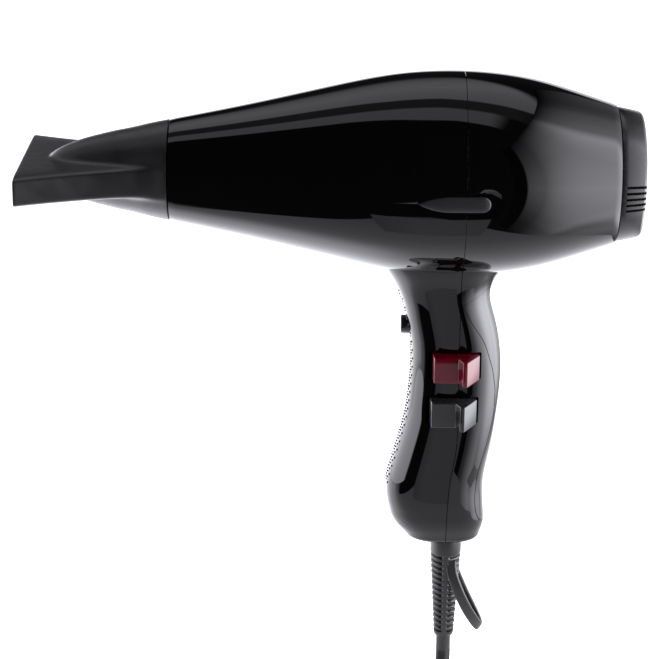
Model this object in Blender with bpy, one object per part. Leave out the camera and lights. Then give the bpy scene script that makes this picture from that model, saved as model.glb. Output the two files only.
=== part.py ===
"""Hand-held hair dryer with a concentrator nozzle, built from its separate moulded and metal pieces.

Frame: +Z up, the air leaves towards -X, and the origin is in the middle of the grip, where a hand
holds it. The barrel's axis runs along X above the origin. All lengths are in metres.
"""

import math

import bpy
from mathutils import Matrix, Vector

MM = 0.001
GAP = 0.3 * MM

# Barrel
AXIS_Z = 112 * MM
WALL = 2.6 * MM
MOUTH_X = -132 * MM
REAR_X = 70.8 * MM
BARREL_RADII = (
    (-132, 23.2),
    (-98, 30.2),
    (-61, 38.6),
    (-30, 44.7),
    (-5, 46.5),
    (18, 45.4),
    (38, 41.9),
    (56, 36.5),
    (71, 31.6),
)
NECK_RADIUS = 19.5 * MM
NECK_LENGTH = 10 * MM
NECK_BORE = 17.8 * MM
BARREL_SIDES = 36
INNER_SIDES = 20

# Handle: height, front edge, back edge and half width of each section
HANDLE_SECTIONS = (
    (-69.5, -13.0, 9.0, 9.0),
    (-68.3, -18.0, 12.3, 12.0),
    (-65.5, -22.2, 14.6, 14.3),
    (-61.0, -26.2, 15.9, 16.0),
    (-55.0, -29.4, 16.0, 17.3),
    (-47.0, -31.2, 15.4, 18.0),
    (-39.0, -31.2, 15.3, 18.2),
    (-30.0, -28.8, 16.6, 18.2),
    (-19.0, -25.8, 18.7, 18.0),
    (-7.0, -22.9, 20.3, 18.0),
    (6.0, -21.3, 21.5, 18.0),
    (20.0, -20.4, 21.9, 18.0),
    (32.0, -20.9, 20.8, 18.0),
    (42.0, -22.8, 18.7, 18.0),
    (50.0, -24.6, 16.3, 18.0),
    (56.0, -26.8, 15.5, 18.5),
    (61.0, -29.2, 16.8, 19.3),
    (66.0, -32.5, 19.5, 21.0),
    (71.0, -35.5, 23.0, 23.0),
    (78.0, -37.0, 25.0, 24.5),
)
HANDLE_SHAPE = 2.4
HANDLE_POINTS = 20
HANDLE_WALL = 2.6 * MM
HANDLE_SIDE_WALL = 3.0 * MM
HANDLE_BACK_WALL = 4.2 * MM
HANDLE_FLOOR = -66.3 * MM
HANDLE_CAVITY_TOP = 78 * MM

# Parting line between the front and rear housings, from above the barrel to below the handle
SEAM = ((1.5, 170), (1.5, -6), (1.0, -20), (-1.0, -32), (-2.0, -44), (-2.2, -90))

# Cover let into the back of the handle
COVER_OUTLINE = (
    (32, 66),
    (16.6, 61.5),
    (3.4, 53.6),
    (2.9, 52.4),
    (7.0, 44.8),
    (13.3, 35.0),
    (17.3, 21.8),
    (19.1, 11.0),
    (18.9, -2.7),
    (15.9, -17.4),
    (11.9, -32.0),
    (10.9, -45.0),
    (11.8, -52.8),
    (14.5, -58.5),
    (32, -64),
)
COVER_DEPTH = 1.9 * MM

# Teardrop caps on the sides of the barrel
CAP_TIP_X = -20.1 * MM
CAP_SHOULDER_X = -6 * MM
CAP_ROUND_X = 8.4 * MM
CAP_RADIUS = 3.6 * MM
CAP_Z = AXIS_Z - 2 * MM
CAP_FLOOR_Y = 44.8 * MM
CAP_FACE_Y = 46.9 * MM

# Rear cap
REAR_CAP_OUTLINE = (
    (64, 28.8),
    (71.1, 28.8),
    (71.1, 30.7),
    (74, 30.3),
    (78, 29.5),
    (81.3, 28.7),
    (82.3, 27.8),
    (82.3, 26.0),
    (64, 27.0),
)
RIM_SLOTS = 5
RIM_SLOT_TOP = 3.8
RIM_SLOT_PITCH = 5.4
RIM_SLOT_FLOOR = 27.6 * MM

# Nozzle
NOZZLE_OUTLINE = (
    (-132.4, 23.1),
    (-143, 20.9),
    (-150, 19.2),
    (-157, 17.8),
    (-164, 16.1),
    (-171, 13.9),
    (-177, 11.3),
    (-182, 8.6),
    (-186, 5.4),
    (-187, 3.0),
)
NOZZLE_WALL = 1.8 * MM
SOCKET_RADIUS = 19.8 * MM
BLADE_PLAN = ((-140, 20.0), (-150, 23.2), (-165, 27.6), (-180, 33.0), (-190, 37.0), (-199, 41.0))
BLADE_HALF_THICK = 6.2 * MM
BLADE_TIP_X = -199 * MM

# Rocker switches on the side of the handle
ROCKER_HEIGHT = 12.8 * MM
ROCKER_WINDOW = (24.4 * MM, 13.4 * MM)
ROCKER_PIVOT_Y = -13.2 * MM
ROCKER_PROFILE = (
    (-10.5, 4.0),
    (-9.9, 11.2),
    (1.3, 11.2),
    (3.2, 16.2),
    (5.1, 16.9),
    (11.2, 6.2),
    (11.0, 1.5),
    (3.6, -2.6),
    (-3.6, -2.6),
    (-10.4, 1.0),
)
ROCKERS = {"heat": (-0.4 * MM, 22.6 * MM), "speed": (-1.2 * MM, 0.2 * MM)}
PIN_RADIUS = 1.0 * MM

# Cool-shot button
BUTTON_Z = 38.4 * MM
BUTTON_RADIUS = 4.4 * MM
BUTTON_FACE_X = -25.5 * MM

# Cord
CORD_X = -1.6 * MM
CORD_RADIUS = 3.5 * MM
SLEEVE_TOP = -69.9 * MM
SLEEVE_END = -122 * MM
SLEEVE_RIBS = 14
COIL_CENTRE = (7.9 * MM, 0, -203.3 * MM)
COIL_INNER = 24.2 * MM
COIL_OUTER = 52.8 * MM
COIL_HALF_WIDTH = 10.8 * MM

BLACK = ((0.012, 0.012, 0.013), 0.12, 0.0)
SATIN_BLACK = ((0.02, 0.02, 0.02), 0.45, 0.0)
RUBBER = ((0.018, 0.018, 0.018), 0.6, 0.0)
RED = ((0.45, 0.02, 0.03), 0.15, 0.0)
GREY = ((0.05, 0.05, 0.055), 0.2, 0.0)
STEEL = ((0.6, 0.6, 0.6), 0.3, 1.0)
BRASS = ((0.7, 0.5, 0.2), 0.3, 1.0)
COPPER = ((0.75, 0.35, 0.2), 0.35, 1.0)
MICA = ((0.6, 0.5, 0.35), 0.5, 0.0)
CARBON = ((0.03, 0.03, 0.03), 0.7, 0.0)
WHITE = ((0.75, 0.73, 0.68), 0.4, 0.0)


# ---------------------------------------------------------------- modelling helpers


def clear_scene():
    for old in list(bpy.data.objects):
        bpy.data.objects.remove(old)


def finish(obj, look):
    """Gives a finished sub-part its own material."""
    colour, roughness, metallic = look
    made = bpy.data.materials.new(obj.name)
    made.use_nodes = True
    shader = made.node_tree.nodes["Principled BSDF"]
    shader.inputs["Base Color"].default_value = (*colour, 1)
    shader.inputs["Roughness"].default_value = roughness
    shader.inputs["Metallic"].default_value = metallic
    obj.data.materials.clear()
    obj.data.materials.append(made)
    return obj


def mesh_object(name, points, faces):
    mesh = bpy.data.meshes.new(name)
    mesh.from_pydata([tuple(point) for point in points], [], faces)
    mesh.validate()
    made = bpy.data.objects.new(name, mesh)
    bpy.context.scene.collection.objects.link(made)
    return made


def skin(name, rings, wrap=False):
    """A closed body over a row of equal rings. wrap joins the last ring to the first."""
    count = len(rings[0])
    rows = len(rings)
    points = [point for ring in rings for point in ring]
    faces = []
    for row in range(rows if wrap else rows - 1):
        for i in range(count):
            j = (i + 1) % count
            low, high = row * count, (row + 1) % rows * count
            faces.append((low + i, low + j, high + j, high + i))
    if not wrap:
        faces.append(tuple(range(count - 1, -1, -1)))
        faces.append(tuple((rows - 1) * count + i for i in range(count)))
    made = mesh_object(name, points, faces)
    face_outwards(made)
    return made


def face_outwards(obj):
    """Turns the faces over if the body is inside out."""
    volume = 0.0
    mesh = obj.data
    mesh.calc_loop_triangles()
    for triangle in mesh.loop_triangles:
        a, b, c = (mesh.vertices[i].co for i in triangle.vertices)
        volume += a.dot(b.cross(c))
    if volume < 0:
        mesh.flip_normals()


def circle_frame(axis):
    """Two directions square to an axis, which carry the points of a circle round it."""
    axis = Vector(axis).normalized()
    first = Vector((0, 0, 1)) if abs(axis.z) < 0.9 else Vector((1, 0, 0))
    return axis, first, axis.cross(first)


def turned(name, outline, centre=(0, 0, AXIS_Z), axis=(1, 0, 0), sides=BARREL_SIDES, hollow=False):
    """A turned body. outline holds (distance along the axis, radius) pairs in metres."""
    axis, first, second = circle_frame(axis)
    centre = Vector(centre)
    rings = []
    for along, radius in outline:
        ring = []
        for i in range(sides):
            angle = math.tau * i / sides
            spoke = first * math.cos(angle) + second * math.sin(angle)
            ring.append(centre + axis * along + spoke * radius)
        rings.append(ring)
    return skin(name, rings, wrap=hollow)


def in_mm(pairs):
    return [tuple(value * MM for value in pair) for pair in pairs]


def rod(name, start, end, radius, sides=16):
    """A round bar between two points."""
    start, end = Vector(start), Vector(end)
    length = (end - start).length
    return turned(name, ((0, radius), (length, radius)), start, end - start, sides)


def pipe(name, start, end, inner, outer, sides=BARREL_SIDES):
    """A straight round tube between two points."""
    start, end = Vector(start), Vector(end)
    length = (end - start).length
    outline = ((0, inner), (0, outer), (length, outer), (length, inner))
    return turned(name, outline, start, end - start, sides, hollow=True)


def on_axis(x, y=0.0, z=0.0):
    """A point given from the barrel's axis."""
    return Vector((x, y, AXIS_Z + z))


def prism(name, outline, direction, low, high):
    """An outline in two of the axes, carried along the third ('X', 'Y' or 'Z') from low to high."""
    place = {
        "X": lambda a, b, depth: (depth, a, b),
        "Y": lambda a, b, depth: (a, depth, b),
        "Z": lambda a, b, depth: (a, b, depth),
    }[direction]
    rings = [[place(a, b, depth) for a, b in outline] for depth in (low, high)]
    return skin(name, rings)


def box(name, low, high):
    outline = ((low[0], low[1]), (high[0], low[1]), (high[0], high[1]), (low[0], high[1]))
    return prism(name, outline, "Z", low[2], high[2])


def combine(target, tool, operation):
    """Applies a Boolean with the tool, which is used up."""
    modifier = target.modifiers.new("combine", "BOOLEAN")
    modifier.operation = operation
    modifier.object = tool
    modifier.solver = "EXACT"
    graph = bpy.context.evaluated_depsgraph_get()
    result = bpy.data.meshes.new_from_object(target.evaluated_get(graph))
    target.modifiers.clear()
    target.data = result
    bpy.data.objects.remove(tool)
    return target


def cut(target, *tools):
    for tool in tools:
        combine(target, tool, "DIFFERENCE")
    return target


def join(target, *tools):
    for tool in tools:
        combine(target, tool, "UNION")
    return target


def copy_of(obj, name):
    made = bpy.data.objects.new(name, obj.data.copy())
    bpy.context.scene.collection.objects.link(made)
    return made


def set_origin(obj, point):
    """Moves a piece's origin to a point without moving the piece."""
    obj.data.transform(Matrix.Translation(-Vector(point)))
    obj.location = point
    return obj


def through(points, at):
    """The smooth curve through (position, value, value...) points, read at one position."""
    spans = len(points) - 1
    i = max(k for k in range(spans) if k == 0 or points[k][0] <= at)
    here, there = points[i], points[i + 1]
    before = points[max(i - 1, 0)]
    after = points[min(i + 2, spans)]
    span = there[0] - here[0]
    t = min(max((at - here[0]) / span, 0), 1)
    values = []
    for k in range(1, len(here)):
        slope_here = (there[k] - before[k]) / (there[0] - before[0]) * span
        slope_there = (after[k] - here[k]) / (after[0] - here[0]) * span
        values.append(
            (2 * t**3 - 3 * t**2 + 1) * here[k]
            + (t**3 - 2 * t**2 + t) * slope_here
            + (3 * t**2 - 2 * t**3) * there[k]
            + (t**3 - t**2) * slope_there
        )
    return values


def arc(centre, radius, start, end, steps):
    """Points along a circular arc, angles in degrees."""
    points = []
    for i in range(steps + 1):
        angle = math.radians(start + (end - start) * i / steps)
        points.append((centre[0] + radius * math.cos(angle), centre[1] + radius * math.sin(angle)))
    return points


def wire(name, points, radius, resolution=1):
    """A round wire or cord along points, with closed ends."""
    curve = bpy.data.curves.new(name, "CURVE")
    curve.dimensions = "3D"
    curve.bevel_depth = radius
    curve.bevel_resolution = resolution
    curve.use_fill_caps = True
    spline = curve.splines.new("POLY")
    spline.points.add(len(points) - 1)
    for target, point in zip(spline.points, points):
        target.co = (*point, 1)
    made = bpy.data.objects.new(name, curve)
    bpy.context.scene.collection.objects.link(made)
    return made


# ---------------------------------------------------------------- housing


def barrel_radius(x):
    """Outer radius of the barrel at a place along it."""
    return through(BARREL_RADII, x / MM)[0] * MM


def barrel_stations(start, end, steps):
    return [start + (end - start) * i / steps for i in range(steps + 1)]


def barrel_solid(name):
    neck_x = MOUTH_X - NECK_LENGTH
    outline = [(neck_x, NECK_RADIUS), (MOUTH_X, NECK_RADIUS)]
    outline += [(x, barrel_radius(x)) for x in barrel_stations(MOUTH_X, REAR_X, 12)]
    return turned(name, outline)


def barrel_cavity(name):
    shoulder_x = MOUTH_X + WALL
    outline = [(MOUTH_X - 2 * NECK_LENGTH, NECK_BORE), (shoulder_x, NECK_BORE)]
    stations = barrel_stations(shoulder_x, REAR_X, 8)
    outline += [(x, barrel_radius(x) - WALL) for x in stations]
    outline.append((REAR_X + 2 * MM, barrel_radius(REAR_X) - WALL))
    return turned(name, outline)


def handle_ring(z, front_inset, side_inset, back_inset):
    """The handle's rounded section at one height."""
    front, back, half = through(HANDLE_SECTIONS, z / MM)
    front = front * MM + front_inset
    back = back * MM - back_inset
    half = half * MM - side_inset
    middle, reach = (front + back) / 2, (back - front) / 2
    ring = []
    for i in range(HANDLE_POINTS):
        angle = math.tau * i / HANDLE_POINTS
        c, s = math.cos(angle), math.sin(angle)
        along = math.copysign(abs(c) ** (2 / HANDLE_SHAPE), c)
        across = math.copysign(abs(s) ** (2 / HANDLE_SHAPE), s)
        ring.append((middle + reach * along, half * across, z))
    return ring


def handle_solid(name, front_inset=0.0, side_inset=0.0, back_inset=0.0, floor=None, top=None):
    heights = [section[0] * MM for section in HANDLE_SECTIONS]
    if floor is not None:
        heights = [floor] + [z for z in heights[::2] if z > floor + 1 * MM]
    if top is not None:
        heights = [z for z in heights if z < top - 1 * MM] + [top]
    rings = [handle_ring(z, front_inset, side_inset, back_inset) for z in heights]
    return skin(name, rings)


def side_of_seam(name, side):
    """Everything in front of the parting line (side -1) or behind it (side 1)."""
    far = side * 400
    outline = [(x + side * GAP / MM / 2, z) for x, z in SEAM]
    outline += [(far, SEAM[-1][1]), (far, SEAM[0][1])]
    return prism(name, in_mm(outline), "Y", -200 * MM, 200 * MM)


def cover_region(name, grow):
    """A block that holds the back cover's outline, grown or shrunk by moving it along X."""
    outline = [((x - grow / MM), z) for x, z in COVER_OUTLINE]
    return prism(name, in_mm(outline), "Y", -60 * MM, 60 * MM)


def cover_pocket(name):
    pocket = cover_region(name, GAP)
    inset = COVER_DEPTH
    core = handle_solid("core", inset, inset, inset, floor=-68 * MM)
    return cut(pocket, core)


def teardrop(radius, tip_x):
    """Teardrop outline in X and Z: pointed arch towards the nozzle, straight sides and a round end."""
    length = CAP_SHOULDER_X - tip_x
    bend = (length**2 + radius**2) / (2 * radius)
    steps = 5
    arch = []
    for i in range(steps):
        x = tip_x + length * i / steps
        arch.append((x, math.sqrt(bend**2 - (CAP_SHOULDER_X - x) ** 2) - bend + radius))
    points = [(x, CAP_Z - half) for x, half in arch]
    points.append((CAP_SHOULDER_X, CAP_Z - radius))
    points += arc((CAP_ROUND_X, CAP_Z), radius, -90, 90, 8)
    points.append((CAP_SHOULDER_X, CAP_Z + radius))
    points += [(x, CAP_Z + half) for x, half in reversed(arch[1:])]
    return points


def cap_pocket(name, side):
    outline = teardrop(CAP_RADIUS + GAP, CAP_TIP_X - 2 * MM)
    low, high = sorted((side * CAP_FLOOR_Y, side * 60 * MM))
    return prism(name, outline, "Y", low, high)


def rocker_window(name, centre):
    half_long, half_high = ROCKER_WINDOW[0] / 2, ROCKER_WINDOW[1] / 2
    x, z = centre
    return box(name, (x - half_long, -30 * MM, z - half_high), (x + half_long, -8 * MM, z + half_high))


def screw_boss(name, z, start_x, end_x, radius):
    return rod(name, (start_x, 0, z), (end_x, 0, z), radius, 14)


SCREWS = {"upper": 50 * MM, "lower": -35 * MM}
SCREW_HEAD_X = 10.4 * MM
SCREW_TIP_X = -9 * MM


def build_housing():
    shell = join(barrel_solid("shell"), handle_solid("handle"))
    hollow = join(
        barrel_cavity("hollow"),
        handle_solid(
            "inner",
            HANDLE_WALL,
            HANDLE_SIDE_WALL,
            HANDLE_BACK_WALL,
            floor=HANDLE_FLOOR,
            top=HANDLE_CAVITY_TOP,
        ),
    )
    cut(shell, hollow)
    front = combine(copy_of(shell, "front_housing"), side_of_seam("ahead", -1), "INTERSECT")
    rear = combine(copy_of(shell, "rear_housing"), side_of_seam("behind", 1), "INTERSECT")
    bpy.data.objects.remove(shell)
    for name, z in SCREWS.items():
        front_wall = handle_ring(z, 0, 0, 0)[HANDLE_POINTS // 2][0]
        join(front, screw_boss("boss", z, front_wall + 1.2 * MM, -2.6 * MM, 4 * MM))
        join(rear, screw_boss("boss", z, 2.2 * MM, 13.2 * MM, 4.6 * MM))
        cut(front, screw_boss("hole", z, SCREW_TIP_X - 1 * MM, 0, 1.8 * MM))
        cut(rear, screw_boss("hole", z, 0, 20 * MM, 1.8 * MM))
        cut(rear, screw_boss("seat", z, SCREW_HEAD_X - GAP, 20 * MM, 3.6 * MM))
    cut(rear, cover_pocket("pocket"))
    for housing in (front, rear):
        for side in (-1, 1):
            cut(housing, cap_pocket("pocket", side))
        for centre in ROCKERS.values():
            cut(housing, rocker_window("window", centre))
        cut(housing, rod("cord_hole", (CORD_X, 0, -80 * MM), (CORD_X, 0, -60 * MM), 6.3 * MM, 20))
    cut(front, rod("button_hole", (-40 * MM, 0, BUTTON_Z), (-10 * MM, 0, BUTTON_Z), 4.7 * MM, 24))
    finish(front, BLACK)
    finish(rear, BLACK)


def build_back_cover():
    cover = handle_solid("handle_back_cover")
    core_inset = COVER_DEPTH - GAP
    core = handle_solid("core", core_inset, core_inset, core_inset, floor=-68.9 * MM, top=90 * MM)
    cut(cover, core)
    combine(cover, cover_region("region", 0.0), "INTERSECT")
    finish(cover, BLACK)


def build_side_caps():
    for side, name in ((-1, "side_cap_right"), (1, "side_cap_left")):
        outline = teardrop(CAP_RADIUS, CAP_TIP_X)
        low, high = sorted((side * (CAP_FLOOR_Y + GAP), side * CAP_FACE_Y))
        finish(prism(name, outline, "Y", low, high), GREY)


def build_rear_cap():
    cap = turned("rear_cap", in_mm(REAR_CAP_OUTLINE), hollow=True)
    for side in (-1, 1):
        for i in range(RIM_SLOTS):
            lift = math.radians(RIM_SLOT_TOP - i * RIM_SLOT_PITCH)
            slot = box(
                "slot",
                (73.2 * MM, RIM_SLOT_FLOOR, -0.6 * MM),
                (90 * MM, 40 * MM, 0.6 * MM),
            )
            slot.data.transform(Matrix.Rotation(lift, 4, "X"))
            if side < 0:
                slot.data.transform(Matrix.Scale(-1, 4, (0, 1, 0)))
                slot.data.flip_normals()
            slot.data.transform(Matrix.Translation((0, 0, AXIS_Z)))
            cut(cap, slot)
    finish(cap, SATIN_BLACK)


def spoked_disc(name, x, thick, radius, rings, spokes, ring_width, look):
    """A flat grille of rings joined by spokes, square to the barrel's axis."""
    disc = pipe(name, on_axis(x), on_axis(x + thick), radius - 1.5 * ring_width, radius, 28)
    for i in range(1, rings + 1):
        middle = radius * i / (rings + 1)
        inner = max(middle - ring_width / 2, 0.1 * MM)
        join(disc, pipe("ring", on_axis(x), on_axis(x + thick), inner, middle + ring_width / 2, 20))
    join(disc, rod("hub", on_axis(x), on_axis(x + thick), radius / (rings + 1) * 0.4, 12))
    for i in range(spokes):
        bar = box(
            "spoke",
            (x + 0.1 * MM, -0.6 * MM, 0),
            (x + thick - 0.1 * MM, 0.6 * MM, radius - ring_width),
        )
        bar.data.transform(Matrix.Rotation(math.tau * (i + 0.5) / spokes, 4, "X"))
        bar.data.transform(Matrix.Translation((0, 0, AXIS_Z)))
        join(disc, bar)
    return finish(disc, look)


def build_rear_inlet():
    spoked_disc("inlet_grille", 78 * MM, 1.6 * MM, 25.7 * MM, 2, 6, 1.4 * MM, SATIN_BLACK)
    finish(rod("filter_screen", on_axis(74 * MM), on_axis(74.7 * MM), 26.0 * MM, 32), STEEL)


def build_outlet_grille():
    spoked_disc("outlet_grille", -129 * MM, 1.4 * MM, 20.6 * MM, 1, 4, 1.2 * MM, STEEL)


def build_nozzle():
    outer = turned("concentrator_nozzle", in_mm(NOZZLE_OUTLINE), sides=36)
    plan = in_mm(BLADE_PLAN)
    mirrored = [(x, -y) for x, y in reversed(plan)]
    top, bottom = AXIS_Z + BLADE_HALF_THICK, AXIS_Z - BLADE_HALF_THICK
    join(outer, prism("blade", plan + mirrored, "Z", bottom, top))
    inner_outline = [(-131 * MM, SOCKET_RADIUS), (-143 * MM, SOCKET_RADIUS)]
    inner_outline += [(x * MM, r * MM - NOZZLE_WALL) for x, r in NOZZLE_OUTLINE[1:-2]]
    cut(outer, turned("air_cone", inner_outline, sides=32))
    slot = [(x - 1 * MM, y - 2.2 * MM) for x, y in plan[1:]]
    slot.append((BLADE_TIP_X - 10 * MM, slot[-1][1]))
    slot += [(x, -y) for x, y in reversed(slot)]
    lip = BLADE_HALF_THICK - NOZZLE_WALL
    cut(outer, prism("air_slot", slot, "Z", AXIS_Z - lip, AXIS_Z + lip))
    set_origin(outer, on_axis(MOUTH_X))
    finish(outer, SATIN_BLACK)


# ---------------------------------------------------------------- air mover


def build_carrier():
    """Ring, stator vanes and the tube that holds the motor, in one moulding."""
    ring = pipe("motor_carrier", on_axis(-8.6 * MM), on_axis(8 * MM), 41.6 * MM, 43.0 * MM, 28)
    join(ring, pipe("tube", on_axis(-8.6 * MM), on_axis(36 * MM), 20.9 * MM, 22.4 * MM, INNER_SIDES))
    vanes = 7
    for i in range(vanes):
        vane = box(
            "vane",
            (-8 * MM, -0.8 * MM, 21.5 * MM),
            (7.4 * MM, 0.8 * MM, 42.2 * MM),
        )
        vane.data.transform(Matrix.Rotation(math.tau * (i + 0.5) / vanes, 4, "X"))
        vane.data.transform(Matrix.Translation((0, 0, AXIS_Z)))
        join(ring, vane)
    finish(ring, WHITE)


def sector(name, inner, outer, middle, half, low, high, steps=6):
    """Part of a round wall about the barrel's axis. middle and half are angles in degrees from +Y."""
    outline = arc((0, AXIS_Z), outer, middle - half, middle + half, steps)
    outline += arc((0, AXIS_Z), inner, middle + half, middle - half, steps)
    return prism(name, outline, "X", low, high)


def build_stator():
    core = pipe("stator_core", on_axis(13 * MM), on_axis(33 * MM), 17 * MM, 20.2 * MM, INNER_SIDES)
    for middle in (0, 180):
        join(core, sector("pole", 12.3 * MM, 17.8 * MM, middle, 48, 13.2 * MM, 32.8 * MM, 6))
    finish(core, STEEL)
    for middle, name in ((90, "field_coil_upper"), (270, "field_coil_lower")):
        coil = sector(name, 12.6 * MM, 16.6 * MM, middle, 38, 8 * MM, 34.6 * MM)
        finish(coil, COPPER)


def build_rotor():
    bore = 2.8 * MM
    shaft_radius = 2.5 * MM
    axis_start, axis_end = on_axis(-9.5 * MM), on_axis(62 * MM)
    finish(rod("motor_shaft", axis_start, axis_end, shaft_radius, 14), STEEL)
    teeth = 12
    outline = []
    for i in range(teeth):
        for share, radius in ((0.0, 11.8), (0.62, 11.8), (0.7, 8.6), (0.92, 8.6)):
            angle = math.tau * (i + share) / teeth
            outline.append((radius * MM * math.cos(angle), AXIS_Z + radius * MM * math.sin(angle)))
    armature = prism("armature_core", outline, "X", 13 * MM, 33 * MM)
    cut(armature, rod("bore", on_axis(10 * MM), on_axis(36 * MM), bore, 14))
    finish(armature, STEEL)
    commutator = pipe("commutator", on_axis(-2.6 * MM), on_axis(7 * MM), bore, 7 * MM, INNER_SIDES)
    finish(commutator, COPPER)
    fan = pipe("fan_impeller", on_axis(44 * MM), on_axis(58 * MM), bore, 8.5 * MM, INNER_SIDES)
    blades = 9
    for i in range(blades):
        blade = box(
            "blade",
            (-7.4 * MM, -0.6 * MM, 7.6 * MM),
            (7.4 * MM, 0.6 * MM, 27.4 * MM),
        )
        blade.data.transform(Matrix.Rotation(math.radians(38), 4, "Z"))
        blade.data.transform(Matrix.Translation((51 * MM, 0, 0)))
        blade.data.transform(Matrix.Rotation(math.tau * i / blades, 4, "X"))
        blade.data.transform(Matrix.Translation((0, 0, AXIS_Z)))
        join(fan, blade)
    finish(fan, SATIN_BLACK)
    nut = rod("fan_nut", on_axis(58.3 * MM), on_axis(61.3 * MM), 4.2 * MM, 6)
    cut(nut, rod("bore", on_axis(55 * MM), on_axis(65 * MM), bore, 14))
    finish(nut, BRASS)
    for name in ("motor_shaft", "armature_core", "commutator", "fan_impeller", "fan_nut"):
        set_origin(bpy.data.objects[name], on_axis(0))


def build_brackets():
    bearing_inner, bearing_outer = 2.8 * MM, 6 * MM
    for name, low, high in (("front", -7.2 * MM, -4.4 * MM), ("rear", 35 * MM, 37.6 * MM)):
        bracket = pipe(
            f"motor_bracket_{name}",
            on_axis(low),
            on_axis(high),
            bearing_outer + GAP,
            20.1 * MM,
            INNER_SIDES,
        )
        finish(bracket, STEEL)
        bearing = pipe(f"bearing_{name}", on_axis(low), on_axis(high), bearing_inner, bearing_outer, 16)
        finish(bearing, BRASS)
    for side, name in ((-1, "right"), (1, "left")):
        near, far = 7.3 * MM, 15 * MM
        brush = box(
            f"carbon_brush_{name}",
            (-0.9 * MM, min(side * near, side * far), AXIS_Z - 2.4 * MM),
            (5.1 * MM, max(side * near, side * far), AXIS_Z + 2.4 * MM),
        )
        finish(brush, CARBON)
        near, far = 9.5 * MM, 18.5 * MM
        holder = box(
            f"brush_holder_{name}",
            (-2.6 * MM, min(side * near, side * far), AXIS_Z - 4 * MM),
            (6.8 * MM, max(side * near, side * far), AXIS_Z + 4 * MM),
        )
        near, far = 5 * MM, 15.3 * MM
        bore = box(
            "bore",
            (-1.2 * MM, min(side * near, side * far), AXIS_Z - 2.7 * MM),
            (5.4 * MM, max(side * near, side * far), AXIS_Z + 2.7 * MM),
        )
        finish(cut(holder, bore), BRASS)


# ---------------------------------------------------------------- heater


def build_heater():
    finish(pipe("heater_sleeve", on_axis(-104 * MM), on_axis(-33 * MM), 23.4 * MM, 24.2 * MM, 28), MICA)
    finish(pipe("heater_front_ring", on_axis(-103 * MM), on_axis(-99 * MM), 24.7 * MM, 26 * MM, 28), WHITE)
    funnel = (
        (-9, 43.2),
        (-12, 43.2),
        (-34, 26.2),
        (-40, 26.0),
        (-40, 24.7),
        (-33.5, 24.7),
        (-11.5, 41.6),
        (-9, 41.6),
    )
    finish(turned("air_funnel", in_mm(funnel), sides=28, hollow=True), WHITE)
    low, high = -98 * MM, -37 * MM
    end, tall, short = 5 * MM, 23.0 * MM, 17.6 * MM
    outline = [(low, tall), (low, -tall), (low + end, -tall), (low + end, -short)]
    outline += [(high - end, -short), (high - end, -tall), (high, -tall), (high, tall)]
    outline += [(high - end, tall), (high - end, short), (low + end, short), (low + end, tall)]
    half_thick = 0.4 * MM
    slot_half = half_thick + GAP
    middle = (low + high) / 2
    upright = prism("mica_board_upright", [(x, AXIS_Z + z) for x, z in outline], "Y", -half_thick, half_thick)
    slot = box("slot", (low - 5 * MM, -9 * MM, AXIS_Z - slot_half), (middle, 9 * MM, AXIS_Z + slot_half))
    finish(cut(upright, slot), MICA)
    level = prism("mica_board_level", outline, "Z", AXIS_Z - half_thick, AXIS_Z + half_thick)
    start = middle - GAP
    slot = box("slot", (start, -slot_half, AXIS_Z - 9 * MM), (high + 5 * MM, slot_half, AXIS_Z + 9 * MM))
    finish(cut(level, slot), MICA)
    turns, per_turn = 4, 12
    for name, start in (("heating_coil_front", -90.5 * MM), ("heating_coil_rear", -65 * MM)):
        points = []
        for i in range(turns * per_turn + 1):
            angle = math.tau * i / per_turn
            x = start + 5.2 * MM * i / per_turn
            points.append(on_axis(x, 18.9 * MM * math.cos(angle), 18.9 * MM * math.sin(angle)))
        finish(wire(name, points, 0.7 * MM, 0), STEEL)
    thermostat = box(
        "thermostat",
        (-60 * MM, 0.8 * MM, AXIS_Z + 4 * MM),
        (-50 * MM, 4.4 * MM, AXIS_Z + 10 * MM),
    )
    finish(thermostat, STEEL)
    fuse_z = -9 * MM
    finish(rod("thermal_fuse", on_axis(-62 * MM, 2.6 * MM, fuse_z), on_axis(-50 * MM, 2.6 * MM, fuse_z), 1.8 * MM), STEEL)


# ---------------------------------------------------------------- controls


def build_rocker(kind, look):
    x, z = ROCKERS[kind]
    outline = [(x + a * MM, ROCKER_PIVOT_Y - b * MM) for a, b in ROCKER_PROFILE]
    half = ROCKER_HEIGHT / 2
    rocker = prism(f"{kind}_rocker", outline, "Z", z - half, z + half)
    pivot = (x, ROCKER_PIVOT_Y, z)
    bore_reach = half + 1 * MM
    start, end = (x, ROCKER_PIVOT_Y, z - bore_reach), (x, ROCKER_PIVOT_Y, z + bore_reach)
    cut(rocker, rod("bore", start, end, PIN_RADIUS + GAP, 12))
    finish(set_origin(rocker, pivot), look)
    ear_low, ear_high = half + 0.6 * MM, half + 2.2 * MM
    body = box(
        f"{kind}_switch_body",
        (x - 9.5 * MM, -9 * MM, z - ear_high),
        (x + 9.5 * MM, 3 * MM, z + ear_high),
    )
    for low, high in ((ear_low, ear_high), (-ear_high, -ear_low)):
        ear = box("ear", (x - 3 * MM, -14.6 * MM, z + low), (x + 3 * MM, -8 * MM, z + high))
        join(body, ear)
    pin_reach = ear_high + 0.2 * MM
    start, end = (x, ROCKER_PIVOT_Y, z - pin_reach), (x, ROCKER_PIVOT_Y, z + pin_reach)
    cut(body, rod("bore", start, end, PIN_RADIUS + GAP, 12))
    finish(body, SATIN_BLACK)
    start, end = (x, ROCKER_PIVOT_Y, z - ear_high), (x, ROCKER_PIVOT_Y, z + ear_high)
    finish(rod(f"{kind}_rocker_pin", start, end, PIN_RADIUS, 12), STEEL)


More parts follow.
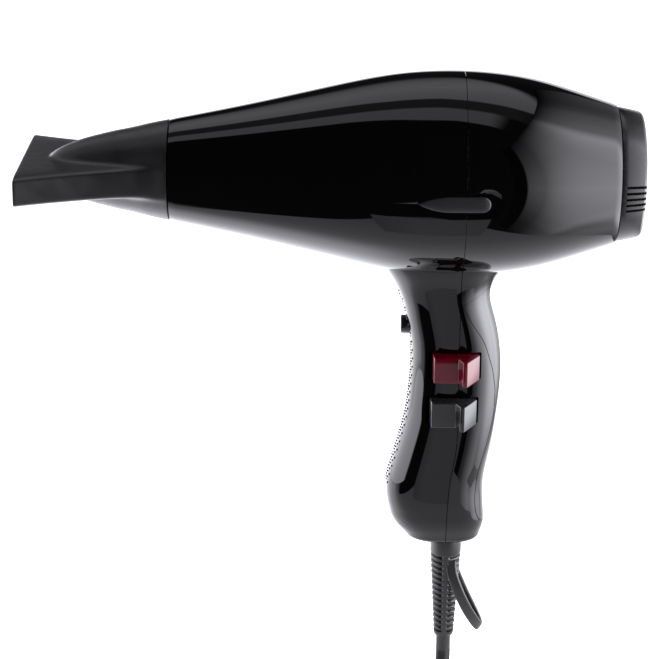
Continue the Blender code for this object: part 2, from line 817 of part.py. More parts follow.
def build_cool_shot():
    tip = BUTTON_FACE_X / MM
    radius = BUTTON_RADIUS / MM
    outline = (
        (tip + 0.8, radius - 2.0),
        (tip, radius - 0.9),
        (tip + 0.5, radius),
        (-17.2, radius),
        (-17.2, radius + 1.0),
        (-16.2, radius + 1.0),
        (-16.2, 1.5),
        (-13.4, 1.5),
    )
    button = turned("cool_shot_button", in_mm(outline), (0, 0, BUTTON_Z), sides=20)
    finish(set_origin(button, (BUTTON_FACE_X, 0, BUTTON_Z)), BLACK)
    switch_x = -10.6 * MM
    body = box("cool_shot_switch", (switch_x, -4 * MM, BUTTON_Z - 4.5 * MM), (-3.6 * MM, 4 * MM, BUTTON_Z + 4.5 * MM))
    finish(body, SATIN_BLACK)
    turns, per_turn = 4, 10
    start, end = -15.6 * MM, switch_x - 0.6 * MM
    points = []
    for i in range(turns * per_turn + 1):
        angle = math.tau * i / per_turn
        x = start + (end - start) * i / (turns * per_turn)
        points.append((x, 3.2 * MM * math.cos(angle), BUTTON_Z + 3.2 * MM * math.sin(angle)))
    finish(wire("cool_shot_spring", points, 0.3 * MM, 0), STEEL)


def build_screws():
    for name, z in SCREWS.items():
        outline = (
            (SCREW_TIP_X, 0.8 * MM),
            (SCREW_TIP_X + 1.5 * MM, 1.5 * MM),
            (SCREW_HEAD_X, 1.5 * MM),
            (SCREW_HEAD_X, 3.2 * MM),
            (SCREW_HEAD_X + 1.6 * MM, 2.9 * MM),
        )
        finish(turned(f"housing_screw_{name}", outline, (0, 0, z), sides=14), STEEL)


# ---------------------------------------------------------------- cord


def build_sleeve():
    """Strain relief: flange and neck held in the handle, collar, then ribs that taper to the cord."""
    outline = [(-62.5, 7.6), (-65.9, 7.6), (-65.9, 6.0), (-69.9, 6.0), (-69.9, 7.5), (-77.6, 7.5)]
    pitch = (SLEEVE_END / MM + 78.4) / SLEEVE_RIBS
    for i in range(SLEEVE_RIBS):
        crest = 7.4 - 2.3 * i / (SLEEVE_RIBS - 1)
        start = -78.4 + pitch * i
        outline += [(start, crest - 1.3), (start + pitch * 0.5, crest)]
    outline += [(SLEEVE_END / MM, 4.6), (SLEEVE_END / MM, 3.8), (-62.5, 3.8)]
    sleeve = turned("strain_relief_sleeve", in_mm(outline), (CORD_X, 0, 0), (0, 0, 1), 12, hollow=True)
    finish(sleeve, RUBBER)


def build_hang_loop():
    """Moulded strap that leaves both faces of the sleeve's collar and hangs behind the cord."""
    reach = 9.0
    half = (
        (CORD_X / MM, -reach, -71.5),
        (CORD_X / MM + 0.2, -reach, -79.0),
        (CORD_X / MM + 1.8, -reach, -87.0),
        (CORD_X / MM + 5.6, -reach + 0.3, -95.5),
        (CORD_X / MM + 10.2, -reach + 1.2, -104.0),
        (CORD_X / MM + 14.2, -reach + 3.4, -111.5),
        (CORD_X / MM + 16.6, -reach + 6.4, -116.0),
    )
    path = list(half) + [(CORD_X / MM + 17.2, 0.0, -117.2)]
    path += [(x, -y, z) for x, y, z in reversed(half)]
    rings = []
    for i, point in enumerate(path):
        before = Vector(path[max(i - 1, 0)])
        after = Vector(path[min(i + 1, len(path) - 1)])
        along = (after - before).normalized()
        wide = Vector((along.z, 0, -along.x)) if abs(along.y) < 0.5 else Vector((0.5, 0, 0.86))
        wide = (wide - along * wide.dot(along)).normalized()
        if wide.x < 0:
            wide = -wide
        thin = along.cross(wide)
        ring = []
        for k in range(10):
            angle = math.tau * k / 10
            offset = wide * 2.5 * math.cos(angle) + thin * 1.2 * math.sin(angle)
            ring.append((Vector(point) + offset) * MM)
        rings.append(ring)
    finish(skin("hang_loop", rings), RUBBER)


def build_clamp():
    low, high = -58.5 * MM, -50.5 * MM
    groove = CORD_RADIUS + GAP
    halves = {
        "cord_clamp_front": (CORD_X - 7 * MM, CORD_X - 0.3 * MM),
        "cord_clamp_rear": (CORD_X + 0.3 * MM, CORD_X + 7 * MM),
    }
    for name, (start, end) in halves.items():
        half = box(name, (start, -9.8 * MM, low), (end, 9.8 * MM, high))
        cut(half, rod("groove", (CORD_X, 0, -80 * MM), (CORD_X, 0, -30 * MM), groove, 16))
        for y in (-6.6 * MM, 6.6 * MM):
            middle = (low + high) / 2
            cut(half, rod("bore", (-20 * MM, y, middle), (20 * MM, y, middle), 1.6 * MM, 12))
        finish(half, SATIN_BLACK)
    for y, name in ((-6.6 * MM, "right"), (6.6 * MM, "left")):
        z = (low + high) / 2
        outline = (
            (CORD_X - 6.8 * MM, 1.3 * MM),
            (CORD_X + 7.3 * MM, 1.3 * MM),
            (CORD_X + 7.3 * MM, 2.8 * MM),
            (CORD_X + 8.8 * MM, 2.5 * MM),
        )
        finish(turned(f"clamp_screw_{name}", outline, (0, y, z), sides=12), STEEL)


def smooth_route(points, spacing):
    """Evenly spread points on a smooth curve through a route's own points."""
    dense = []
    for i in range(len(points) - 1):
        before = Vector(points[max(i - 1, 0)])
        here, there = Vector(points[i]), Vector(points[i + 1])
        after = Vector(points[min(i + 2, len(points) - 1)])
        for step in range(20):
            t = step / 20
            dense.append(
                0.5
                * (
                    2 * here
                    + (there - before) * t
                    + (2 * before - 5 * here + 4 * there - after) * t**2
                    + (3 * here - before - 3 * there + after) * t**3
                )
            )
    dense.append(Vector(points[-1]))
    total = sum((b - a).length for a, b in zip(dense, dense[1:]))
    count = max(round(total / spacing), 2)
    route, walked, wanted = [dense[0]], 0.0, total / count
    for a, b in zip(dense, dense[1:]):
        length = (b - a).length
        while walked + length >= wanted - 1e-9 and len(route) < count:
            route.append(a.lerp(b, (wanted - walked) / length))
            wanted += total / count
        walked += length
    route.append(dense[-1])
    return route


LEAD_ROUTE = (
    (CORD_X, 0, -47 * MM),
    (CORD_X, 0, -80 * MM),
    (CORD_X, 0, -110 * MM),
    (CORD_X, 0, -130 * MM),
    (CORD_X - 0.9 * MM, 0, -140 * MM),
    (CORD_X - 3.5 * MM, 0, -147.3 * MM),
)
TAIL_ROUTE = (
    (COIL_CENTRE[0] - 27 * MM, 16.5 * MM, COIL_CENTRE[2] + 16 * MM),
    (COIL_CENTRE[0] - 30 * MM, 17.2 * MM, COIL_CENTRE[2] + 2 * MM),
    (COIL_CENTRE[0] - 29.5 * MM, 18.5 * MM, COIL_CENTRE[2] - 14 * MM),
    (COIL_CENTRE[0] - 28 * MM, 20.0 * MM, COIL_CENTRE[2] - 30 * MM),
)


def build_cord():
    cord_step = 14 * MM
    finish(wire("cord_lead", smooth_route(LEAD_ROUTE, cord_step), CORD_RADIUS, 2), RUBBER)
    coil = pipe(
        "cord_coil",
        Vector(COIL_CENTRE) + Vector((0, -COIL_HALF_WIDTH, 0)),
        Vector(COIL_CENTRE) + Vector((0, COIL_HALF_WIDTH, 0)),
        COIL_INNER,
        COIL_OUTER,
        28,
    )
    finish(coil, RUBBER)
    band = 1.4 * MM
    inner_x, outer_x = COIL_CENTRE[0] - 22.2 * MM, COIL_CENTRE[0] - COIL_OUTER - GAP
    half_y = COIL_HALF_WIDTH + GAP
    low, high = COIL_CENTRE[2] - 8 * MM, COIL_CENTRE[2] + 8 * MM
    tie = box("cord_tie", (outer_x - band, -half_y - band, low), (inner_x + band, half_y + band, high))
    cut(tie, box("inside", (outer_x, -half_y, low - 1 * MM), (inner_x, half_y, high + 1 * MM)))
    finish(tie, RED)
    finish(wire("cord_tail", smooth_route(TAIL_ROUTE, cord_step), CORD_RADIUS, 2), RUBBER)


def build_plug():
    """Two-pin plug whose slim body hangs at the end of the cord."""
    x, y, z = TAIL_ROUTE[-1]
    top, bottom = z - 2 * GAP, z - 36 * MM
    sections = ((0.0, 5.0, 4.6), (0.18, 6.0, 5.4), (0.5, 11.5, 6.4), (0.86, 17.2, 7.0), (1.0, 16.6, 6.4))
    rings = []
    for share, half_x, half_y in sections:
        height = top + (bottom - top) * share
        ring = []
        for k in range(20):
            angle = math.tau * k / 20
            c, s = math.cos(angle), math.sin(angle)
            across = math.copysign(abs(c) ** 0.7, c) * half_x * MM
            deep = math.copysign(abs(s) ** 0.7, s) * half_y * MM
            ring.append((x + across, y + deep, height))
        rings.append(ring)
    finish(skin("plug_body", rings), RUBBER)
    for side, name in ((-1, "left"), (1, "right")):
        pin_x = x + side * 9.5 * MM
        start, end = (pin_x, y, bottom - GAP), (pin_x, y, bottom - 19 * MM)
        finish(rod(f"plug_pin_{name}", start, end, 2.4 * MM, 14), BRASS)


# ---------------------------------------------------------------- whole object


def main():
    clear_scene()
    build_housing()
    build_back_cover()
    build_side_caps()
    build_rear_cap()
    build_rear_inlet()
    build_outlet_grille()
    build_nozzle()
    build_carrier()
    build_stator()
    build_rotor()
    build_brackets()
    build_heater()
    build_rocker("heat", RED)
    build_rocker("speed", GREY)
    build_cool_shot()
    build_screws()
    build_sleeve()
    build_hang_loop()
    build_clamp()
    build_cord()
    build_plug()


main()
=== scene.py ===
"""Looks for the hair dryer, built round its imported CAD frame.

Lengths in this file are millimetres unless a name says otherwise; mesh_object turns them into metres.
X runs along the barrel towards the air inlet, Z is up and the switches are on the -Y side.
"""

import math

import bpy
import numpy as np
from mathutils import Matrix, Vector


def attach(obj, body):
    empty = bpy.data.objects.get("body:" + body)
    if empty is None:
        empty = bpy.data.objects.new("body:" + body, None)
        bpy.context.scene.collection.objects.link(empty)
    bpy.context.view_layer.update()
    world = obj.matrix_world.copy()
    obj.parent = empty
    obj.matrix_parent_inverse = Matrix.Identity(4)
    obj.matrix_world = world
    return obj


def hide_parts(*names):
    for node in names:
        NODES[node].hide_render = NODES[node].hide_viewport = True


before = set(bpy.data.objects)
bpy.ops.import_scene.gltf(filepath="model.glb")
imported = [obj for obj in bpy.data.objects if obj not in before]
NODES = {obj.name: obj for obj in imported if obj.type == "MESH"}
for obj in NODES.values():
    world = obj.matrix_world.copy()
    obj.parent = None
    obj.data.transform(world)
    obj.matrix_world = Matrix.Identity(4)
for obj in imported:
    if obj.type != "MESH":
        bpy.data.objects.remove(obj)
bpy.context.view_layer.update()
MM = 0.001

# --- sizes shared with the CAD source

AXIS_Z = 112.0
MOUTH_X = -132.0
REAR_X = 70.8
GAP = 0.3
BARREL_RADII = (
    (-132, 23.2),
    (-98, 30.2),
    (-61, 38.6),
    (-30, 44.7),
    (-5, 46.5),
    (18, 45.4),
    (38, 41.9),
    (56, 36.5),
    (71, 31.6),
)
HANDLE_SECTIONS = (
    (-69.5, -13.0, 9.0, 9.0),
    (-68.3, -18.0, 12.3, 12.0),
    (-65.5, -22.2, 14.6, 14.3),
    (-61.0, -26.2, 15.9, 16.0),
    (-55.0, -29.4, 16.0, 17.3),
    (-47.0, -31.2, 15.4, 18.0),
    (-39.0, -31.2, 15.3, 18.2),
    (-30.0, -28.8, 16.6, 18.2),
    (-19.0, -25.8, 18.7, 18.0),
    (-7.0, -22.9, 20.3, 18.0),
    (6.0, -21.3, 21.5, 18.0),
    (20.0, -20.4, 21.9, 18.0),
    (32.0, -20.9, 20.8, 18.0),
    (42.0, -22.8, 18.7, 18.0),
    (50.0, -24.6, 16.3, 18.0),
    (56.0, -26.8, 15.5, 18.5),
    (61.0, -29.2, 16.8, 19.3),
    (66.0, -32.5, 19.5, 21.0),
    (71.0, -35.5, 23.0, 23.0),
    (78.0, -37.0, 25.0, 24.5),
)
HANDLE_SHAPE = 2.5
SEAM = ((1.5, 170), (1.5, -6), (1.0, -20), (-1.0, -32), (-2.0, -44), (-2.2, -90))
COVER_OUTLINE = (
    (32, 66),
    (16.6, 61.5),
    (3.4, 53.6),
    (2.9, 52.4),
    (7.0, 44.8),
    (13.3, 35.0),
    (17.3, 21.8),
    (19.1, 11.0),
    (18.9, -2.7),
    (15.9, -17.4),
    (11.9, -32.0),
    (10.9, -45.0),
    (11.8, -52.8),
    (14.5, -58.5),
    (32, -64),
)
COVER_DEPTH = 1.9
CAP_TIP_X, CAP_SHOULDER_X, CAP_ROUND_X = -20.1, -6.0, 8.4
CAP_RADIUS = 3.6
CAP_Z = AXIS_Z - 2
ROCKERS = {"heat": (-0.4, 24.0), "speed": (-1.2, 2.0)}
ROCKER_PIVOT_Y = -13.2
BUTTON_Z = 38.4
CORD_X = -1.6
CORD_RADIUS = 3.5
SLEEVE_END = -122.0
COIL_X, COIL_Z = 7.9, -203.3

# --- camera

TARGET = Vector((-0.0587, 0.0, 0.0352))
AZIMUTH, ELEVATION, ROLL = (math.radians(angle) for angle in (0.23, 19.57, 0.5))
DISTANCE = 1.085
LENS, SENSOR = 126.6, 36.0


def make_camera():
    data = bpy.data.cameras.new("camera")
    data.sensor_width, data.lens = SENSOR, LENS
    data.clip_start, data.clip_end = 0.05, 30.0
    made = bpy.data.objects.new("camera", data)
    bpy.context.scene.collection.objects.link(made)
    level = math.cos(ELEVATION)
    back = Vector((math.sin(AZIMUTH) * level, -math.cos(AZIMUTH) * level, math.sin(ELEVATION)))
    aim = (-back).to_track_quat("-Z", "Y")
    made.rotation_mode = "QUATERNION"
    made.rotation_quaternion = aim @ Matrix.Rotation(ROLL, 3, "Z").to_quaternion()
    made.location = TARGET + back * DISTANCE
    bpy.context.scene.camera = made


make_camera()

# --- mesh helpers


class Spline:
    """Natural cubic spline through (position, value, ...) rows with rising positions."""

    def __init__(self, rows):
        table = np.array(rows, float)
        self.at, self.values = table[:, 0], table[:, 1:]
        count = len(self.at)
        step = np.diff(self.at)
        system = np.eye(count)
        right = np.zeros_like(self.values)
        for i in range(1, count - 1):
            system[i, i - 1 : i + 2] = step[i - 1], 2 * (step[i - 1] + step[i]), step[i]
            rise = (self.values[i + 1] - self.values[i]) / step[i]
            right[i] = 6 * (rise - (self.values[i] - self.values[i - 1]) / step[i - 1])
        self.bend = np.linalg.solve(system, right)

    def __call__(self, position):
        position = np.clip(np.asarray(position, float), self.at[0], self.at[-1])
        i = np.clip(np.searchsorted(self.at, position) - 1, 0, len(self.at) - 2)
        step = (self.at[i + 1] - self.at[i])[..., None]
        a = (self.at[i + 1] - position)[..., None] / step
        b = 1 - a
        curve = (a**3 - a) * self.bend[i] + (b**3 - b) * self.bend[i + 1]
        return a * self.values[i] + b * self.values[i + 1] + curve * step**2 / 6


def mesh_object(name, points, faces):
    mesh = bpy.data.meshes.new(name)
    scaled = np.array(points, float).reshape(-1, 3) * MM
    mesh.from_pydata(scaled.tolist(), [], faces)
    mesh.validate()
    made = bpy.data.objects.new(name, mesh)
    bpy.context.scene.collection.objects.link(made)
    return made


def face_outwards(obj):
    mesh = obj.data
    mesh.calc_loop_triangles()
    corners = np.array([v.co for v in mesh.vertices])[
        np.array([t.vertices for t in mesh.loop_triangles])
    ]
    volume = np.einsum("ij,ij->i", corners[:, 0], np.cross(corners[:, 1], corners[:, 2])).sum()
    if volume < 0:
        mesh.flip_normals()
    return obj


def skin(name, rings, wrap=False):
    """A closed body over a row of equal rings. wrap joins the last ring to the first."""
    rings = np.array(rings, float)
    rows, count = rings.shape[:2]
    faces = []
    for row in range(rows if wrap else rows - 1):
        low, high = row * count, (row + 1) % rows * count
        for i in range(count):
            j = (i + 1) % count
            faces.append((low + i, low + j, high + j, high + i))
    if not wrap:
        faces.append(tuple(range(count - 1, -1, -1)))
        faces.append(tuple((rows - 1) * count + i for i in range(count)))
    return face_outwards(mesh_object(name, rings, faces))


def circle_frame(axis):
    axis = Vector(axis).normalized()
    first = Vector((0, 0, 1)) if abs(axis.z) < 0.9 else Vector((1, 0, 0))
    return np.array(axis), np.array(first), np.array(axis.cross(first))


def turned(name, outline, centre=(0, 0, AXIS_Z), axis=(1, 0, 0), sides=96, hollow=False):
    """A turned body. outline holds (distance along the axis, radius) pairs."""
    axis, first, second = circle_frame(axis)
    angles = np.linspace(0, math.tau, sides, endpoint=False)
    spokes = np.outer(np.cos(angles), first) + np.outer(np.sin(angles), second)
    rings = [np.array(centre) + axis * along + spokes * radius for along, radius in outline]
    return skin(name, rings, wrap=hollow)


LONGEST_CUT = 0.48
NEARLY_STRAIGHT = math.radians(87)


def rounded(outline, radius, steps=4, keep=()):
    """Rounds a closed flat outline's corners. keep lists corners that stay sharp."""
    count = len(outline)
    points = []
    for i, here in enumerate(np.array(outline, float)):
        if i in keep:
            points.append(tuple(here))
            continue
        before = np.array(outline[i - 1], float)
        after = np.array(outline[(i + 1) % count], float)
        to_before, to_after = before - here, after - here
        reach = min(np.linalg.norm(to_before), np.linalg.norm(to_after)) * LONGEST_CUT
        to_before /= np.linalg.norm(to_before)
        to_after /= np.linalg.norm(to_after)
        half = math.acos(np.clip(to_before @ to_after, -1, 1)) / 2
        if half > NEARLY_STRAIGHT:
            points.append(tuple(here))
            continue
        cut_back = min(radius / math.tan(half), reach)
        start, end = here + to_before * cut_back, here + to_after * cut_back
        for k in range(steps + 1):
            t = k / steps
            weight = 2 * t * (1 - t) * math.sin(half)
            base = (1 - t) ** 2 + weight + t**2
            points.append(tuple(((1 - t) ** 2 * start + weight * here + t**2 * end) / base))
    return points


def rectangle(low, high):
    """The corners of an upright rectangle, from its lowest and highest corner."""
    return [(low[0], low[1]), (high[0], low[1]), (high[0], high[1]), (low[0], high[1])]


def superellipse(half_x, half_y, power, count=72):
    """Oval round the origin that squares up as power rises."""
    angles = np.linspace(0, math.tau, count, endpoint=False)
    c, s = np.cos(angles), np.sin(angles)
    size = (np.abs(c) ** power + np.abs(s) ** power) ** (-1 / power)
    return np.stack([half_x * c * size, half_y * s * size], 1)


def level_ring(flat, z, x=0.0, y=0.0):
    """A flat outline laid level at height z, with its origin at (x, y)."""
    return np.stack([x + flat[:, 0], y + flat[:, 1], np.full(len(flat), float(z))], 1)


def inset(outline, distance):
    """Moves a dense closed outline inwards along its own normals."""
    points = np.array(outline, float)
    along = np.roll(points, -1, 0) - np.roll(points, 1, 0)
    along /= np.linalg.norm(along, axis=1)[:, None] + 1e-12
    normal = np.stack([-along[:, 1], along[:, 0]], 1)
    following = np.roll(points, -1, 0)
    area = (points[:, 0] * following[:, 1] - following[:, 0] * points[:, 1]).sum()
    return points + normal * distance * (1 if area > 0 else -1)


PLANES = {
    "X": lambda a, b, depth: (depth, a, b),
    "Y": lambda a, b, depth: (a, depth, b),
    "Z": lambda a, b, depth: (a, b, depth),
}


def slab(name, outline, direction, low, high, edge=0.0, steps=3):
    """An outline carried along an axis, with its two end edges rounded by edge."""
    turns = np.linspace(0, math.pi / 2, steps + 1) if edge else [math.pi / 2]
    levels = [(low + edge * (1 - math.cos(t)), edge * (1 - math.sin(t))) for t in turns]
    levels += [(low + high - depth, pull) for depth, pull in reversed(levels)]
    place = PLANES[direction]
    rings = []
    for depth, pull in levels:
        ring = inset(outline, pull) if pull > 1e-9 else np.array(outline, float)
        rings.append([place(a, b, depth) for a, b in ring])
    return skin(name, rings)


def block(name, low, high, edge=0.0):
    outline = rectangle(low, high)
    if edge:
        outline = rounded(outline, edge, 3)
    return slab(name, outline, "Z", low[2], high[2], edge)


def combine(target, tool, operation):
    modifier = target.modifiers.new("combine", "BOOLEAN")
    modifier.operation = operation
    modifier.object = tool
    modifier.solver = "EXACT"
    graph = bpy.context.evaluated_depsgraph_get()
    result = bpy.data.meshes.new_from_object(target.evaluated_get(graph))
    target.modifiers.clear()
    target.data = result
    bpy.data.objects.remove(tool)
    return target


def merged(name, *objects):
    """Bodies that don't touch, put into one mesh."""
    points, faces = [], []
    for obj in objects:
        start = len(points)
        matrix = obj.matrix_world.copy()
        points += [tuple((matrix @ v.co) / MM) for v in obj.data.vertices]
        faces += [tuple(start + i for i in p.vertices) for p in obj.data.polygons]
        bpy.data.objects.remove(obj)
    return mesh_object(name, points, faces)


def copy_of(obj, name):
    made = bpy.data.objects.new(name, obj.data.copy())
    bpy.context.scene.collection.objects.link(made)
    return made


def turn(obj, angle, axis):
    """Turns a mesh about an axis through the barrel's middle line."""
    place = Matrix.Translation((0, 0, AXIS_Z * MM))
    obj.data.transform(place @ Matrix.Rotation(angle, 4, axis) @ place.inverted())
    return obj


def smooth(obj, angle=35):
    obj.data.shade_smooth()
    obj.data.set_sharp_from_angle(angle=math.radians(angle))
    return obj


def surface_normals(value, points):
    """Unit gradients of a surface's function at points, and the points' distances from the surface."""
    step = 0.01
    moves = step * np.eye(3)
    gradient = np.stack([(value(points + move) - value(points - move)) / (2 * step) for move in moves], 1)
    size = np.linalg.norm(gradient, axis=1)[:, None] + 1e-9
    return gradient / size, value(points) / size[:, 0]


ON_SURFACE = 0.06
SAME_WAY = 0.93


def true_normals(obj, surfaces):
    """Gives faces on known smooth surfaces those surfaces' own normals, so that gloss runs clean."""
    smooth(obj)
    mesh = obj.data
    points = np.array([v.co for v in mesh.vertices]) / MM
    corner_vertex = np.zeros(len(mesh.loops), int)
    mesh.loops.foreach_get("vertex_index", corner_vertex)
    sizes = np.array([p.loop_total for p in mesh.polygons])
    face_of = np.repeat(np.arange(len(sizes)), sizes)
    face_normals = np.array([p.normal for p in mesh.polygons])
    wanted = np.zeros((len(mesh.loops), 3))
    taken = np.zeros(len(mesh.loops), bool)
    for value in surfaces:
        normals, away = surface_normals(value, points)
        on = (np.abs(away) < ON_SURFACE)[corner_vertex]
        agree = np.einsum("ij,ij->i", normals[corner_vertex], face_normals[face_of])
        good = on & (agree > SAME_WAY)
        whole = np.bincount(face_of, good, len(sizes)) == sizes
        use = whole[face_of] & ~taken
        wanted[use] = normals[corner_vertex[use]]
        taken |= use
    mesh.normals_split_custom_set(wanted.tolist())


def piece(obj, body, *nodes, material=None, slot=None):
    """Finishes a piece: its material, the body it rides on and the CAD nodes it stands for."""
    if material is not None:
        obj.data.materials.clear()
        obj.data.materials.append(material)
    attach(obj, body)
    if nodes:
        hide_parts(*nodes)
    return obj


# --- materials


def nodes_of(material):
    return material.node_tree.nodes, material.node_tree.links


def base_material(name, colour, roughness, metallic=0.0):
    material = bpy.data.materials.new(name)
    material.use_nodes = True
    shader = material.node_tree.nodes["Principled BSDF"]
    shader.inputs["Base Color"].default_value = (*colour, 1)
    shader.inputs["Roughness"].default_value = roughness
    shader.inputs["Metallic"].default_value = metallic
    return material, shader


def own_space(material):
    """Places in the object's own space, so that a pattern rides with its piece."""
    return material.node_tree.nodes.new("ShaderNodeTexCoord").outputs["Object"]


def add_noise(material, scale, detail=3.0, stretch=(1, 1, 1)):
    nodes, links = nodes_of(material)
    mapping = nodes.new("ShaderNodeMapping")
    mapping.inputs["Scale"].default_value = stretch
    noise = nodes.new("ShaderNodeTexNoise")
    noise.inputs["Scale"].default_value = scale
    noise.inputs["Detail"].default_value = detail
    links.new(own_space(material), mapping.inputs["Vector"])
    links.new(mapping.outputs["Vector"], noise.inputs["Vector"])
    return noise.outputs["Fac"]


def vary_colour(material, shader, source, colour, low, high, stops=(0.35, 0.65)):
    """Base colour that runs from low to high times the colour as the source rises."""
    nodes, links = nodes_of(material)
    ramp = nodes.new("ShaderNodeValToRGB")
    for element, stop, share in zip(ramp.color_ramp.elements, stops, (low, high)):
        element.position = stop
        element.color = (*(min(value * share, 1.0) for value in colour), 1)
    links.new(source, ramp.inputs["Fac"])
    links.new(ramp.outputs["Color"], shader.inputs["Base Color"])


def vary_gloss(material, shader, source, low, high):
    """Roughness that runs from low to high as the source rises."""
    nodes, links = nodes_of(material)
    spread = nodes.new("ShaderNodeMapRange")
    spread.inputs["From Min"].default_value, spread.inputs["From Max"].default_value = 0.3, 0.7
    spread.inputs["To Min"].default_value, spread.inputs["To Max"].default_value = low, high
    links.new(source, spread.inputs["Value"])
    links.new(spread.outputs["Result"], shader.inputs["Roughness"])


def add_bump(material, shader, source, strength, depth_mm):
    """Bump on top of any that the shader already has."""
    nodes, links = nodes_of(material)
    bump = nodes.new("ShaderNodeBump")
    bump.inputs["Strength"].default_value = strength
    bump.inputs["Distance"].default_value = depth_mm * MM
    links.new(source, bump.inputs["Height"])
    previous = shader.inputs["Normal"].links
    if previous:
        links.new(previous[0].from_socket, bump.inputs["Normal"])
    links.new(bump.outputs["Normal"], shader.inputs["Normal"])


def plastic(name, colour, roughness, vary=0.25, grain=0.0, grain_scale=2500, wave=0.0):
    """Moulded plastic: slight mottling, uneven gloss, a spark-eroded grain and a faint moulding wave."""
    material, shader = base_material(name, colour, roughness)
    vary_colour(material, shader, add_noise(material, 45, 4), colour, 1 - vary, 1 + vary)
    vary_gloss(material, shader, add_noise(material, 160, 6), roughness * 0.85, roughness * 1.2)
    if wave:
        add_bump(material, shader, add_noise(material, 120, 1), wave, 0.02)
    if grain:
        add_bump(material, shader, add_noise(material, grain_scale, 3), grain, 0.05)
    return material


def metal(name, colour, roughness, stretch=(1, 1, 12), strength=0.15):
    """Metal with fine drawn lines and cloudy tarnish."""
    material, shader = base_material(name, colour, roughness, 1.0)
    vary_colour(material, shader, add_noise(material, 90, 5), colour, 0.78, 1.08)
    lines = add_noise(material, 900, 2, stretch)
    vary_gloss(material, shader, lines, roughness * 0.75, roughness * 1.3)
    add_bump(material, shader, lines, strength, 0.02)
    return material


def rubber(name, colour, roughness):
    return plastic(name, colour, roughness, 0.3, grain=0.35, grain_scale=1800)


WAVE_SCALE = 0.314


def bands(material, axis, pitch_mm, distortion):
    """A wave across an axis that repeats about every pitch."""
    nodes, links = nodes_of(material)
    wave = nodes.new("ShaderNodeTexWave")
    wave.bands_direction = axis
    wave.inputs["Scale"].default_value = WAVE_SCALE / (pitch_mm * MM)
    wave.inputs["Distortion"].default_value = distortion
    links.new(own_space(material), wave.inputs["Vector"])
    return wave


def winding(name, colour, pitch_mm, axis):
    """Enamelled wire laid side by side, with painted shade darkening the grooves between turns."""
    material, shader = base_material(name, colour, 0.3, 0.6)
    turns = bands(material, axis, pitch_mm, 0.4).outputs["Fac"]
    # Colour follows the bump's waves: painted shade darkens the low grooves between turns and bars.
    vary_colour(material, shader, turns, colour, 0.35, 1.0, (0.1, 0.6))
    add_bump(material, shader, turns, 0.8, pitch_mm / 2)
    return material


def layered(name, colour, roughness):
    """Mica: flaky layers with golden and grey patches."""
    material, shader = base_material(name, colour, roughness)
    nodes, links = nodes_of(material)
    flakes = nodes.new("ShaderNodeTexVoronoi")
    flakes.inputs["Scale"].default_value = 260
    links.new(own_space(material), flakes.inputs["Vector"])
    vary_colour(material, shader, flakes.outputs["Distance"], colour, 1.15, 0.7, (0.0, 0.8))
    vary_gloss(material, shader, add_noise(material, 300, 4), roughness * 0.6, roughness * 1.3)
    add_bump(material, shader, flakes.outputs["Distance"], 0.3, 0.05)
    return material


def woven(name, colour, pitch_mm, roughness=0.85):
    """Two crossed waves, as in webbing or wire cloth, with painted shade in the gaps between threads and
    a painted highlight on the raised threads.
    """
    material, shader = base_material(name, colour, roughness)
    nodes, links = nodes_of(material)
    both = nodes.new("ShaderNodeMath")
    both.operation = "MAXIMUM"
    for axis, socket in zip("YZ", both.inputs):
        wave = bands(material, axis, pitch_mm, 0.6)
        wave.inputs["Detail Scale"].default_value = 4
        links.new(wave.outputs["Fac"], socket)
    weave = both.outputs["Value"]
    # Colour follows the weave's height: painted shade darkens the low gaps and a painted highlight
    # lightens the raised threads.
    vary_colour(material, shader, weave, colour, 0.3, 1.3, (0.4, 0.95))
    add_bump(material, shader, weave, 0.9, pitch_mm / 3)
    return material


GLOSS_BLACK = plastic("gloss_black", (0.0006, 0.0006, 0.00065), 0.03, 0.2, wave=0.02)
BUTTON_BLACK = plastic("button_black", (0.006, 0.006, 0.006), 0.12, 0.2, wave=0.05)
NOZZLE_BLACK = plastic("nozzle_black", (0.006, 0.006, 0.0064), 0.36, 0.25, grain=0.10)
CAP_BLACK = plastic("rear_cap_black", (0.005, 0.005, 0.0055), 0.24, 0.25, grain=0.05)
INSERT_GREY = plastic("side_cap_satin", (0.010, 0.010, 0.011), 0.3, 0.2, grain=0.08)
RED_GLOSS = plastic("rocker_red_gloss", (0.065, 0.001, 0.0045), 0.1, 0.12, wave=0.05)
GREY_GLOSS = plastic("rocker_grey_gloss", (0.012, 0.012, 0.013), 0.13, 0.15, wave=0.05)
GRIP_BLACK = plastic("grip_dot_black", (0.002, 0.002, 0.0022), 0.5, 0.2, grain=0.05)
SLEEVE_RUBBER = rubber("sleeve_rubber", (0.004, 0.004, 0.0044), 0.3)
CORD_SHEATH = rubber("cord_sheath", (0.006, 0.006, 0.0064), 0.36)
PLUG_RUBBER = rubber("plug_rubber", (0.014, 0.014, 0.014), 0.5)
PIN_SLEEVE = plastic("pin_sleeve", (0.015, 0.015, 0.015), 0.4, 0.2, grain=0.1)
SWITCH_BLACK = plastic("switch_black", (0.014, 0.014, 0.014), 0.45, 0.25, grain=0.2)
FAN_BLACK = plastic("fan_nylon", (0.02, 0.02, 0.02), 0.4, 0.3, grain=0.2)
CREAM = plastic("heat_moulding", (0.62, 0.6, 0.54), 0.5, 0.08, grain=0.25)
STEEL = metal("steel", (0.58, 0.58, 0.57), 0.32)
LAMINATIONS = metal("steel_laminations", (0.42, 0.42, 0.42), 0.4, (14, 1, 1), 0.6)
BRASS = metal("brass", (0.72, 0.5, 0.22), 0.28)
COPPER_BARS = winding("copper_bars", (0.72, 0.34, 0.2), 1.6, "Y")
COPPER_WIRE = winding("copper_winding", (0.6, 0.22, 0.1), 0.55, "Z")
MICA = layered("mica_sheet", (0.5, 0.42, 0.27), 0.45)
CARBON = plastic("carbon_block", (0.02, 0.02, 0.02), 0.6, 0.4, grain=0.5, grain_scale=900)
WEBBING = woven("tie_webbing", (0.02, 0.02, 0.021), 0.9)
